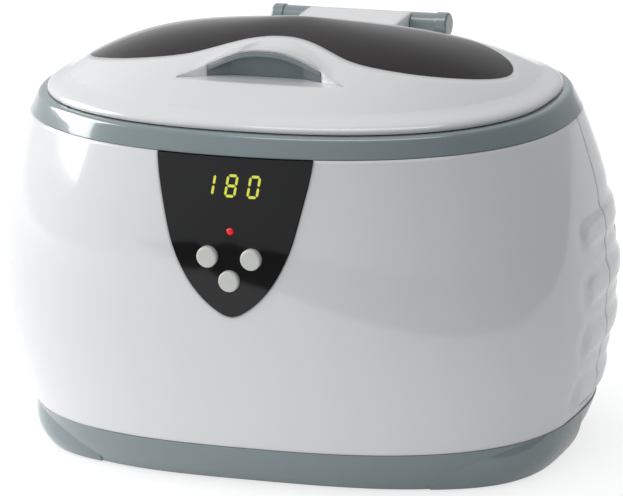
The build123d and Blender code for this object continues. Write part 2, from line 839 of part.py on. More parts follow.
with BuildPart() as grip_insert:
    add(prism(grip_outline, grip_bottom, grip_wall) & grip_zone)
    add(under_hood(grip_roof + grip_gap), mode=Mode.INTERSECT)
    add(grip_room & under_hood(grip_roof + grip_gap + grip_lip), mode=Mode.SUBTRACT)
grip_insert.part.label = "grip_insert"
export_step(grip_insert.part, "parts/grip_insert.step")

with BuildPart() as lid_liner:
    add(oval_block(lid_half_width - liner_inset, lid_half_depth - liner_inset, lid_power,
                   liner_bottom, liner_top))
    add(under_dome(lid_wall + liner_gap), mode=Mode.INTERSECT)
    add(block(-notch_half_width - wall - liner_gap, notch_half_width + wall + liner_gap,
              notch_front - wall - liner_gap, far, 0, far), mode=Mode.SUBTRACT)
    add(oval_block(opening_half_width - skirt_gap, opening_half_depth - skirt_gap, tank_power,
                   liner_bottom - liner_skirt, liner_bottom))
    add(oval_block(opening_half_width - skirt_gap - skirt_wall,
                   opening_half_depth - skirt_gap - skirt_wall, tank_power, 0, far),
        mode=Mode.SUBTRACT)
    with Locations([(x, y, liner_bottom) for x, y in lid_screw_places]):
        Cylinder(lid_screw_head + lip_gap, lid_screw_head_height,
                 align=(Align.CENTER, Align.CENTER, Align.MIN), mode=Mode.SUBTRACT)
        Cylinder(lid_screw_radius + grip_gap, liner_thickness,
                 align=(Align.CENTER, Align.CENTER, Align.MIN), mode=Mode.SUBTRACT)
lid_liner.part.label = "lid_liner"
export_step(lid_liner.part, "parts/lid_liner.step")

with BuildPart() as lid_screws:
    with Locations([(x, y, liner_bottom) for x, y in lid_screw_places]):
        Cylinder(lid_screw_head, lid_screw_head_height,
                 align=(Align.CENTER, Align.CENTER, Align.MIN))
        Cylinder(lid_screw_radius, lid_screw_length,
                 align=(Align.CENTER, Align.CENTER, Align.MIN))
lid_screws.part.label = "lid_screws"
export_step(lid_screws.part, "parts/lid_screws.step")

bumper_places = [(sx * bumper_x, sy * bumper_y) for sx in (-1, 1) for sy in (-1, 1)]
with BuildPart() as lid_bumpers:
    with Locations([(x, y, ring_top + bumper_gap) for x, y in bumper_places]):
        Cylinder(bumper_radius, lid_gap - bumper_gap,
                 align=(Align.CENTER, Align.CENTER, Align.MIN))
lid_bumpers.part.label = "lid_bumpers"
export_step(lid_bumpers.part, "parts/lid_bumpers.step")

# ---------------------------------------------------------------- basket
basket_top = flange_top - 12.0
basket_bottom = tank_floor_top + basket_foot_height
basket_sections = [
    (basket_bottom, basket_floor_half_width, basket_floor_half_depth, tank_power),
    (basket_top, basket_top_half_width, basket_top_half_depth, tank_power),
]
with BuildPart() as basket:
    add(oval_form(basket_sections))
    add(oval_block(basket_top_half_width + basket_rim, basket_top_half_depth + basket_rim,
                   tank_power, basket_top - basket_wall, basket_top))
    add(oval_form([(basket_bottom + basket_wall,) + basket_sections[0][1:],
                   basket_sections[1]], -basket_wall), mode=Mode.SUBTRACT)
    for side in (-1, 1):
        with BuildSketch(Plane.YZ.offset(side * (basket_top_half_width - basket_wall))):
            with Locations((0, basket_top - basket_wall)):
                Rectangle(2 * handle_half_depth, handle_height + basket_wall,
                          align=(Align.CENTER, Align.MIN))
            with Locations((0, basket_top)):
                Rectangle(2 * (handle_half_depth - handle_bar), handle_height - handle_bar,
                          align=(Align.CENTER, Align.MIN), mode=Mode.SUBTRACT)
        extrude(amount=side * basket_wall)
    with Locations([(sx * basket_foot_x, sy * basket_foot_y, tank_floor_top)
                    for sx in (-1, 1) for sy in (-1, 1)]):
        Cylinder(basket_foot_radius, basket_foot_height + basket_wall / 2,
                 align=(Align.CENTER, Align.CENTER, Align.MIN))
    with BuildSketch(Plane.XY.offset(basket_bottom)):
        with GridLocations(basket_slot_length + 2 * basket_slot_width, basket_slot_pitch,
                           basket_slot_columns, basket_slot_rows):
            SlotOverall(basket_slot_length, basket_slot_width)
    extrude(amount=basket_wall, mode=Mode.SUBTRACT)
    with BuildSketch(Plane.XZ):
        with Locations((0, (basket_bottom + basket_top) / 2)):
            with GridLocations(side_slot_pitch, far, side_slot_count, 1):
                SlotOverall(basket_slot_length, basket_slot_width, rotation=90)
    extrude(amount=far, both=True, mode=Mode.SUBTRACT)
basket.part.label = "basket"
export_step(basket.part, "parts/basket.step")

# ---------------------------------------------------------------- control panel
panel_back = wall - 0.05
control_board_front = board_y - control_board_thickness
button_places = [(-button_spread, button_upper_z), (button_spread, button_upper_z),
                 (0.0, button_lower_z)]
button_words = ["left", "right", "lower"]
button_back = control_board_front - switch_height - button_travel - button_rest_gap
segments_of = {"1": "bc", "8": "abcdefg", "0": "abcdef"}


def front_rod(radius, x, z, y_from, y_to):
    """A round bar along Y at (x, z)."""
    return rod(radius, (x, y_from, z), (x, y_to, z))


def front_drill(radius, x, z):
    """A bar through the whole front wall and the control board at (x, z)."""
    return front_rod(radius, x, z, -far, board_y + wall)


def segment_face(letter, x):
    """Add one bar of a seven-segment digit to the sketch in progress."""
    half_w = (digit_width - segment_width) / 2
    half_h = (digit_height - segment_width) / 2
    bar = half_w * 2 - segment_gap
    post = half_h - segment_gap
    spots = {"a": (0, half_h, True), "d": (0, -half_h, True), "g": (0, 0, True),
             "b": (half_w, half_h / 2, False), "c": (half_w, -half_h / 2, False),
             "f": (-half_w, half_h / 2, False), "e": (-half_w, -half_h / 2, False)}
    dx, dz, flat = spots[letter]
    long_x, long_z = (bar / 2, segment_width / 2) if flat else (segment_width / 2, post / 2)
    tip = segment_width / 2
    lean = tan(digit_slant * pi / 180)
    if flat:
        shape = [(-long_x, 0), (-long_x + tip, long_z), (long_x - tip, long_z), (long_x, 0),
                 (long_x - tip, -long_z), (-long_x + tip, -long_z)]
    else:
        shape = [(0, long_z), (long_x, long_z - tip), (long_x, -long_z + tip), (0, -long_z),
                 (-long_x, -long_z + tip), (-long_x, long_z - tip)]
    points = [(x + dx + px + (dz + pz) * lean, digit_middle_z + dz + pz) for px, pz in shape]
    with BuildLine() as edge:
        Polyline(*points, close=True)
    make_face(edge.edges())


with BuildPart() as digit_bars:
    with BuildSketch(Plane.XZ.offset(panel_prism_start)):
        for place, digit in zip((-1, 0, 1), "180"):
            for letter in segments_of[digit]:
                segment_face(letter, place * digit_pitch)
    extrude(amount=panel_prism_depth)

digit_zone = block(-2 * digit_pitch, 2 * digit_pitch, -far, -lid_half_depth,
                   digit_middle_z - digit_height, digit_middle_z + digit_height)
outer_skin = oval_form(body_sections, panel_proud)
slot_floor = oval_form(body_sections, panel_proud - segment_depth) & digit_zone
digit_front = outer_skin & digit_zone
panel_top = shell_top - panel_gap

with BuildPart() as panel_lens:
    add((outer_skin - oval_form(body_sections, -panel_back)) & shield(0, panel_top))
    add(digit_bars.part - slot_floor, mode=Mode.SUBTRACT)
    for x, z in button_places:
        add(front_drill(button_radius + button_gap, x, z), mode=Mode.SUBTRACT)
    add(front_drill(led_radius + button_gap / 2, 0, led_z), mode=Mode.SUBTRACT)
panel_lens.part.label = "panel_lens"
export_step(panel_lens.part, "parts/panel_lens.step")

with BuildPart() as display_digits:
    add(digit_bars.part & digit_front)
    add(slot_floor, mode=Mode.SUBTRACT)
display_digits.part.label = "display_digits"
export_step(display_digits.part, "parts/display_digits.step")

with BuildPart() as panel_carrier:
    add(oval_form(body_sections, -wall - carrier_gap)
        - oval_form(body_sections, -wall - carrier_gap - carrier_thickness))
    add(shield(panel_margin, flange_underside - carrier_gap), mode=Mode.INTERSECT)
    for x, z in carrier_post_places:
        add(front_rod(carrier_post_radius, x, z, control_board_front, -front_depth(z))
            & oval_form(body_sections, -wall - carrier_gap - carrier_thickness / 2))
        add(front_rod(panel_screw_radius, x, z, control_board_front,
                      control_board_front - panel_screw_pilot), mode=Mode.SUBTRACT)
    for x, z in button_places:
        add(front_drill(button_radius + button_gap, x, z), mode=Mode.SUBTRACT)
    add(front_drill(led_radius + button_gap / 2, 0, led_z), mode=Mode.SUBTRACT)
panel_carrier.part.label = "panel_carrier"
export_step(panel_carrier.part, "parts/panel_carrier.step")

for (x, z), word in zip(button_places, button_words):
    carrier_back = front_depth(z) - wall - carrier_gap - carrier_thickness
    button_front = front_depth(z) + panel_proud + button_proud
    with BuildPart() as button:
        add(front_rod(button_radius, x, z, button_back, -button_front))
        fillet(button.faces().sort_by(Axis.Y)[0].edges(), button_round)
        flange_front = button_seat_gap - carrier_back
        add(front_rod(button_radius + button_flange, x, z, flange_front + button_flange,
                      flange_front))
    button.part.label = f"button_{word}"
    export_step(button.part, f"parts/button_{word}.step")

with BuildPart() as indicator_led:
    add(front_rod(led_radius, 0, led_z, control_board_front,
                  -front_depth(led_z) - panel_proud - led_proud))
    fillet(indicator_led.faces().sort_by(Axis.Y)[0].edges(), led_round)
indicator_led.part.label = "indicator_led"
export_step(indicator_led.part, "parts/indicator_led.step")

with BuildPart() as display_module:
    add(block(-display_half_width, display_half_width, control_board_front - display_thickness,
              control_board_front, digit_middle_z - display_below,
              digit_middle_z + display_above))
display_module.part.label = "display_module"
export_step(display_module.part, "parts/display_module.step")

with BuildPart() as control_board:
    add(block(-control_board_half_width, control_board_half_width, control_board_front, board_y,
              control_board_low, control_board_high))
    for x, z in carrier_post_places:
        add(front_drill(panel_screw_radius, x, z), mode=Mode.SUBTRACT)
control_board.part.label = "control_board"
export_step(control_board.part, "parts/control_board.step")

with BuildPart() as tact_switches:
    for x, z in button_places:
        add(block(x - switch_size / 2, x + switch_size / 2,
                  control_board_front - switch_height + plunger_height,
                  control_board_front, z - switch_size / 2, z + switch_size / 2))
        add(front_rod(plunger_radius, x, z, control_board_front - switch_height,
                      control_board_front))
tact_switches.part.label = "tact_switches"
export_step(tact_switches.part, "parts/tact_switches.step")

with BuildPart() as control_board_screws:
    for x, z in carrier_post_places:
        add(front_rod(panel_screw_radius, x, z, board_y,
                      control_board_front - panel_screw_thread))
        add(front_rod(panel_screw_head, x, z, board_y + panel_screw_head_height, board_y))
control_board_screws.part.label = "control_board_screws"
export_step(control_board_screws.part, "parts/control_board_screws.step")

# ---------------------------------------------------------------- mains inlet and drive
with BuildPart() as cord_gland:
    add(rod(gland_radius, (0, inlet_front - gland_thread, gland_z), (0, inlet_rear, gland_z)))
    add(rod(gland_flange, (0, inlet_rear, gland_z), (0, inlet_rear + gland_collar, gland_z)))
    fillet(cord_gland.faces().sort_by(Axis.Y)[-1].edges(), gland_round)
    add(rod(gland_bore, (0, 0, gland_z), (0, far, gland_z)), mode=Mode.SUBTRACT)
cord_gland.part.label = "cord_gland"
export_step(cord_gland.part, "parts/cord_gland.step")

with BuildPart() as gland_nut:
    with BuildSketch(Plane.XZ.offset(-(inlet_front - nut_thickness))):
        with Locations((0, gland_z)):
            RegularPolygon(gland_flange, 6)
            Circle(gland_radius, mode=Mode.SUBTRACT)
    extrude(amount=-nut_thickness)
gland_nut.part.label = "gland_nut"
export_step(gland_nut.part, "parts/gland_nut.step")

with BuildPart() as drive_board:
    add(block(board_x - board_half_width, board_x + board_half_width, -board_half_depth,
              board_half_depth, board_bottom, board_bottom + board_thickness))
    with Locations([(x, y, board_bottom) for x, y in standoff_places]):
        Cylinder(screw_radius, 4 * board_thickness, mode=Mode.SUBTRACT)
drive_board.part.label = "drive_board"
export_step(drive_board.part, "parts/drive_board.step")

board_top = board_bottom + board_thickness
with BuildPart() as board_screws:
    with Locations([(x, y, board_top) for x, y in standoff_places]):
        Cylinder(board_screw_head, board_screw_head_height,
                 align=(Align.CENTER, Align.CENTER, Align.MIN))
        Cylinder(screw_radius, board_thickness, align=(Align.CENTER, Align.CENTER, Align.MAX))
board_screws.part.label = "board_screws"
export_step(board_screws.part, "parts/board_screws.step")

sink_x0 = board_x - board_half_width + sink_margin
sink_x1 = sink_x0 + (fin_count - 1) * fin_pitch + fin_thickness
with BuildPart() as heat_sink:
    add(block(sink_x0, sink_x1, -sink_length / 2, sink_length / 2,
              board_top, board_top + sink_base))
    for index in range(fin_count):
        fin_x = sink_x0 + index * fin_pitch
        add(block(fin_x, fin_x + fin_thickness, -sink_length / 2, sink_length / 2,
                  board_top, board_top + fin_height))
heat_sink.part.label = "heat_sink"
export_step(heat_sink.part, "parts/heat_sink.step")

with BuildPart() as power_transistors:
    for y in (-transistor_y, transistor_y):
        add(block(sink_x1, sink_x1 + transistor_thickness, y - transistor_width / 2,
                  y + transistor_width / 2, board_top, board_top + transistor_height))
power_transistors.part.label = "power_transistors"
export_step(power_transistors.part, "parts/power_transistors.step")

with BuildPart() as capacitors:
    for y, radius, height in capacitor_sizes:
        with Locations((board_x + capacitor_x, y, board_top)):
            Cylinder(radius, height, align=(Align.CENTER, Align.CENTER, Align.MIN))
    fillet(capacitors.faces().filter_by(Plane.XY).sort_by(Axis.Z)[-1].edges(), capacitor_round)
capacitors.part.label = "capacitors"
export_step(capacitors.part, "parts/capacitors.step")

fuse_x = board_x + fuse_shift
fuse_z = board_top + fuse_rise
with BuildPart() as fuse:
    add(rod(fuse_radius, (fuse_x - fuse_length / 2, fuse_y, fuse_z),
            (fuse_x + fuse_length / 2, fuse_y, fuse_z)))
    for end in (-1, 1):
        cap_x = fuse_x + end * (fuse_length - fuse_cap) / 2
        add(block(cap_x - fuse_cap / 2, cap_x + fuse_cap / 2, fuse_y - fuse_clip, fuse_y + fuse_clip,
                  board_top, fuse_z + fuse_clip))
fuse.part.label = "fuse"
export_step(fuse.part, "parts/fuse.step")

with BuildPart() as transformer_core:
    add(block(core_x - core_half_width, core_x + core_half_width, -core_half_depth,
              core_half_depth, inside_floor, inside_floor + core_height))
    add(block(core_x - far, core_x + far, -coil_half_depth, coil_half_depth,
              inside_floor + coil_low, inside_floor + core_height - coil_low),
        mode=Mode.SUBTRACT)
    add(block(core_x - core_half_width, core_x + core_half_width, -core_leg, core_leg,
              inside_floor, inside_floor + core_height))
transformer_core.part.label = "transformer_core"
export_step(transformer_core.part, "parts/transformer_core.step")

with BuildPart() as transformer_coil:
    add(block(core_x - coil_half_width, core_x + coil_half_width, -coil_half_depth,
              coil_half_depth, inside_floor + coil_low, inside_floor + core_height - coil_low))
    fillet(transformer_coil.edges().filter_by(Axis.Z), coil_round)
    add(block(core_x - core_half_width, core_x + core_half_width, -core_leg, core_leg, 0, far),
        mode=Mode.SUBTRACT)
transformer_coil.part.label = "transformer_coil"
export_step(transformer_coil.part, "parts/transformer_coil.step")

# ---------------------------------------------------------------- ultrasonic transducer
stack_z = tank_underside
with BuildPart() as transducer_horn:
    with Locations((0, 0, stack_z - transducer_front)):
        Cone(piezo_radius, horn_top_radius, transducer_front,
             align=(Align.CENTER, Align.CENTER, Align.MIN))
    with Locations((0, 0, stack_z - transducer_front)):
        Cylinder(bolt_radius, bolt_engagement, align=(Align.CENTER, Align.CENTER, Align.MIN),
                 mode=Mode.SUBTRACT)
transducer_horn.part.label = "transducer_horn"
export_step(transducer_horn.part, "parts/transducer_horn.step")

electrode_tops = [stack_z - transducer_front - index * (electrode_thickness + piezo_thickness)
                  for index in range(3)]
with BuildPart() as electrodes:
    for top in electrode_tops:
        with Locations((0, 0, top)):
            Cylinder(piezo_radius, electrode_thickness,
                     align=(Align.CENTER, Align.CENTER, Align.MAX))
            Cylinder(bolt_radius + piezo_gap, electrode_thickness,
                     align=(Align.CENTER, Align.CENTER, Align.MAX), mode=Mode.SUBTRACT)
        add(block(-tab_half_width, tab_half_width, piezo_radius - tab_root,
                  piezo_radius + tab_reach, top - electrode_thickness, top))
electrodes.part.label = "electrodes"
export_step(electrodes.part, "parts/electrodes.step")

with BuildPart() as piezo_rings:
    for top in electrode_tops[:2]:
        with Locations((0, 0, top - electrode_thickness)):
            Cylinder(piezo_radius, piezo_thickness,
                     align=(Align.CENTER, Align.CENTER, Align.MAX))
            Cylinder(bolt_radius + piezo_gap, piezo_thickness,
                     align=(Align.CENTER, Align.CENTER, Align.MAX), mode=Mode.SUBTRACT)
piezo_rings.part.label = "piezo_rings"
export_step(piezo_rings.part, "parts/piezo_rings.step")

back_top = electrode_tops[2] - electrode_thickness
with BuildPart() as back_mass:
    with Locations((0, 0, back_top)):
        Cylinder(back_mass_radius, back_mass_height,
                 align=(Align.CENTER, Align.CENTER, Align.MAX))
        Cylinder(bolt_radius, back_mass_height,
                 align=(Align.CENTER, Align.CENTER, Align.MAX), mode=Mode.SUBTRACT)
    chamfer(back_mass.faces().filter_by(Plane.XY).sort_by(Axis.Z)[0].edges(), back_mass_chamfer)
back_mass.part.label = "back_mass"
export_step(back_mass.part, "parts/back_mass.step")

with BuildPart() as transducer_bolt:
    add(rod(bolt_radius, (0, 0, back_top - back_mass_height),
            (0, 0, stack_z - transducer_front + bolt_engagement)))
    with BuildSketch(Plane.XY.offset(back_top - back_mass_height - bolt_head_height)):
        RegularPolygon(bolt_head_radius, 6)
    extrude(amount=bolt_head_height)
transducer_bolt.part.label = "transducer_bolt"
export_step(transducer_bolt.part, "parts/transducer_bolt.step")
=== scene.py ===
"""Dresses the contact lens cleaner: moulded skins, finishes, camera and studio light.

Metres throughout.  +Z is up, the control panel faces -Y and +X is to the right.
"""
from __future__ import annotations

import json
import logging
import math
from dataclasses import dataclass, field, replace
from enum import Enum

import bmesh
import bpy
import numpy as np
from mathutils import Matrix, Vector

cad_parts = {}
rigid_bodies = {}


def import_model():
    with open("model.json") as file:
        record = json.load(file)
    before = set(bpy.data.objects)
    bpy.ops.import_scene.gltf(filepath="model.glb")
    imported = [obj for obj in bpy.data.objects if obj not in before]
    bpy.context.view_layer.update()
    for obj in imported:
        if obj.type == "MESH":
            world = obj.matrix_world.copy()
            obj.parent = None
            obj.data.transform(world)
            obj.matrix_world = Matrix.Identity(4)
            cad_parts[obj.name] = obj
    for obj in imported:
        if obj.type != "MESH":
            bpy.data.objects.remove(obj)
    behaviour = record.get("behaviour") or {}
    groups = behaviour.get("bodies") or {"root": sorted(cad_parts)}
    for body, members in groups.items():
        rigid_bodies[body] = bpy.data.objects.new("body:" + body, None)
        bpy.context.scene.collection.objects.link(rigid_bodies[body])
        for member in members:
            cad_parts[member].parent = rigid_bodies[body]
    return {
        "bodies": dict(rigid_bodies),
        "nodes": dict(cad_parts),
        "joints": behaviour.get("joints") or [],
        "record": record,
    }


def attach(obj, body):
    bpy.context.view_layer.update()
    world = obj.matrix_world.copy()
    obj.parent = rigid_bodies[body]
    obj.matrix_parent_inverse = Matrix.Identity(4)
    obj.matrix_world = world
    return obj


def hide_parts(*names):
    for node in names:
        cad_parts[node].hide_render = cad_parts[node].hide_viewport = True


log = logging.getLogger("lens_cleaner")
MM = 0.001
Grid = np.ndarray


# ---------------------------------------------------------------- node groups
class Effect(Enum):
    """The surface effects that finishes share, each one shader node group."""

    MOULDED = "moulded_surface"
    BRUSHED = "brushed_surface"
    STACKED = "stacked_sheets"


@dataclass
class NodeBench:
    """Lays out nodes in one tree with short calls.

    Args:
        tree: the node tree that receives the nodes.
    """

    tree: bpy.types.NodeTree

    def add(self, kind: str, **values: object) -> bpy.types.Node:
        """Adds a node and sets its sockets or its own options by name.

        Args:
            kind: the node's type name in Blender.
            values: socket or option names, with spaces written as underscores.

        Returns:
            The new node.
        """
        node = self.tree.nodes.new(kind)
        for key, value in values.items():
            socket = node.inputs.get(key.replace("_", " "))
            if socket is not None and not hasattr(type(node), key):
                socket.default_value = value
            else:
                setattr(node, key, value)
        return node

    def link(self, source: bpy.types.NodeSocket, target: bpy.types.NodeSocket) -> None:
        """Joins two sockets."""
        self.tree.links.new(source, target)


def group_with(name: str, inputs: dict[str, float | tuple], outputs: dict[str, str]) -> NodeBench:
    """Starts a shader node group with named sockets.

    Args:
        name: the group's name.
        inputs: default of each input, a number or a colour.
        outputs: kind of each output, "NodeSocketFloat" or "NodeSocketColor".

    Returns:
        A bench over the group's tree.
    """
    tree = bpy.data.node_groups.new(name, "ShaderNodeTree")
    for key, default in inputs.items():
        kind = "NodeSocketColor" if isinstance(default, tuple) else "NodeSocketFloat"
        tree.interface.new_socket(key, in_out="INPUT", socket_type=kind).default_value = default
    for key, kind in outputs.items():
        tree.interface.new_socket(key, in_out="OUTPUT", socket_type=kind)
    return NodeBench(tree)


SURFACE_OUTPUTS = {"Color": "NodeSocketColor", "Roughness": "NodeSocketFloat",
                   "Height": "NodeSocketFloat"}
BRUSH_STRANDS = 20.0


def close_surface(bench: NodeBench, start: bpy.types.Node, marks: bpy.types.NodeSocket,
                  smears: bpy.types.NodeSocket, grain: bpy.types.NodeSocket,
                  colors: tuple[str, str] = ("Base", "Drift")) -> None:
    """Links a surface group's three outputs.

    Colour is a mix of two colours by the marks, roughness is the smears times the smear
    amount plus the base roughness, and height is the grain.

    Args:
        bench: the group's bench.
        start: the group's input node.
        marks: share of the second colour.
        smears: share of the smear amount.
        grain: height of the fine relief.
        colors: names of the colour inputs, in the order that they are mixed.
    """
    end = bench.add("NodeGroupOutput")
    tint = bench.add("ShaderNodeMix", data_type="RGBA")
    bench.link(marks, tint.inputs[0])
    bench.link(start.outputs[colors[0]], tint.inputs[6])
    bench.link(start.outputs[colors[1]], tint.inputs[7])
    bench.link(tint.outputs[2], end.inputs["Color"])
    rough = bench.add("ShaderNodeMath", operation="MULTIPLY_ADD")
    bench.link(smears, rough.inputs[0])
    bench.link(start.outputs["Smear"], rough.inputs[1])
    bench.link(start.outputs["Roughness"], rough.inputs[2])
    bench.link(rough.outputs[0], end.inputs["Roughness"])
    bench.link(grain, end.inputs["Height"])


def make_moulded_group() -> None:
    """Builds the moulded surface: slow flow marks, handling smears and a fine texture."""
    bench = group_with(Effect.MOULDED.value,
                       {"Base": (0.8, 0.8, 0.8, 1.0), "Drift": (0.7, 0.7, 0.7, 1.0),
                        "Roughness": 0.3, "Smear": 0.05, "Grain Scale": 900.0,
                        "Flow Scale": 14.0}, SURFACE_OUTPUTS)
    start = bench.add("NodeGroupInput")
    place = bench.add("ShaderNodeTexCoord")
    flow = bench.add("ShaderNodeTexNoise", Detail=1.0, Roughness=0.4)
    smear = bench.add("ShaderNodeTexNoise", Detail=2.0, Roughness=0.5, Scale=30.0)
    grain = bench.add("ShaderNodeTexNoise", Detail=4.0, Roughness=0.55)
    for noise in (flow, smear, grain):
        bench.link(place.outputs["Object"], noise.inputs["Vector"])
    bench.link(start.outputs["Flow Scale"], flow.inputs["Scale"])
    bench.link(start.outputs["Grain Scale"], grain.inputs["Scale"])
    close_surface(bench, start, flow.outputs["Fac"], smear.outputs["Fac"],
                  grain.outputs["Fac"])


def make_brushed_group() -> None:
    """Builds the brushed surface: a noise drawn out along X, as on polished or rolled metal."""
    bench = group_with(Effect.BRUSHED.value,
                       {"Base": (0.6, 0.6, 0.6, 1.0), "Drift": (0.5, 0.5, 0.5, 1.0),
                        "Roughness": 0.25, "Smear": 0.12, "Grain Scale": 60.0,
                        "Stretch": 0.04}, SURFACE_OUTPUTS)
    start = bench.add("NodeGroupInput")
    place = bench.add("ShaderNodeTexCoord")
    pull = bench.add("ShaderNodeCombineXYZ", Y=1.0, Z=1.0)
    bench.link(start.outputs["Stretch"], pull.inputs["X"])
    drawn = bench.add("ShaderNodeVectorMath", operation="MULTIPLY")
    bench.link(place.outputs["Object"], drawn.inputs[0])
    bench.link(pull.outputs[0], drawn.inputs[1])
    lines = bench.add("ShaderNodeTexNoise", Detail=6.0, Roughness=0.65)
    bench.link(drawn.outputs[0], lines.inputs["Vector"])
    scale = bench.add("ShaderNodeMath", operation="MULTIPLY")
    scale.inputs[1].default_value = BRUSH_STRANDS
    bench.link(start.outputs["Grain Scale"], scale.inputs[0])
    bench.link(scale.outputs[0], lines.inputs["Scale"])
    close_surface(bench, start, *[lines.outputs["Fac"]] * 3)


def make_stacked_group() -> None:
    """Builds stacked sheets or wound wire: a band wave along one axis, softened by noise."""
    bench = group_with(Effect.STACKED.value,
                       {"Base": (0.3, 0.3, 0.3, 1.0), "Drift": (0.1, 0.1, 0.1, 1.0),
                        "Roughness": 0.4, "Smear": 0.1, "Grain Scale": 300.0}, SURFACE_OUTPUTS)
    start = bench.add("NodeGroupInput")
    place = bench.add("ShaderNodeTexCoord")
    bands = bench.add("ShaderNodeTexWave", bands_direction="Z", Distortion=0.6, Detail=2.0)
    bench.link(place.outputs["Object"], bands.inputs["Vector"])
    bench.link(start.outputs["Grain Scale"], bands.inputs["Scale"])
    close_surface(bench, start, *[bands.outputs["Fac"]] * 3, colors=("Drift", "Base"))


# ---------------------------------------------------------------- finishes
EDGE_SAMPLES = 8


@dataclass(frozen=True)
class Finish:
    """One finish of the object and how it is made.

    Colours are linear and lengths are metres.  edge is the radius at which edges look
    rounded.  A finish that names a node is for that node alone.
    """

    slot: str
    base: tuple[float, float, float]
    drift: tuple[float, float, float]
    roughness: float
    smear: float = 0.05
    effect: Effect = Effect.MOULDED
    grain_scale: float = 900.0
    grain_depth: float = 0.00002
    grain_strength: float = 0.08
    metallic: float = 0.0
    coat: float = 0.0
    coat_roughness: float = 0.05
    ior: float = 1.5
    transmission: float = 0.0
    glow: float = 0.0
    glow_color: tuple[float, float, float] = (1.0, 1.0, 1.0)
    edge: float = 0.0
    node: str = ""

    def material(self) -> bpy.types.Material:
        """Makes the finish's material.

        Returns:
            A node material named after the slot.
        """
        made = bpy.data.materials.new(self.slot)
        made.use_nodes = True
        tree = made.node_tree
        shader = tree.nodes["Principled BSDF"]
        bench = NodeBench(tree)
        surface = bench.add("ShaderNodeGroup", node_tree=bpy.data.node_groups[self.effect.value])
        surface.inputs["Base"].default_value = (*self.base, 1.0)
        surface.inputs["Drift"].default_value = (*self.drift, 1.0)
        surface.inputs["Roughness"].default_value = self.roughness
        surface.inputs["Smear"].default_value = self.smear
        surface.inputs["Grain Scale"].default_value = self.grain_scale
        bench.link(surface.outputs["Color"], shader.inputs["Base Color"])
        bench.link(surface.outputs["Roughness"], shader.inputs["Roughness"])
        bump = bench.add("ShaderNodeBump", Strength=self.grain_strength,
                         Distance=self.grain_depth)
        bench.link(surface.outputs["Height"], bump.inputs["Height"])
        if self.edge > 0.0:
            rounded = bench.add("ShaderNodeBevel", samples=EDGE_SAMPLES, Radius=self.edge)
            bench.link(rounded.outputs["Normal"], bump.inputs["Normal"])
        bench.link(bump.outputs["Normal"], shader.inputs["Normal"])
        shader.inputs["Metallic"].default_value = self.metallic
        shader.inputs["Coat Weight"].default_value = self.coat
        shader.inputs["Coat Roughness"].default_value = self.coat_roughness
        shader.inputs["IOR"].default_value = self.ior
        shader.inputs["Transmission Weight"].default_value = self.transmission
        shader.inputs["Emission Strength"].default_value = self.glow
        shader.inputs["Emission Color"].default_value = (*self.glow_color, 1.0)
        return made


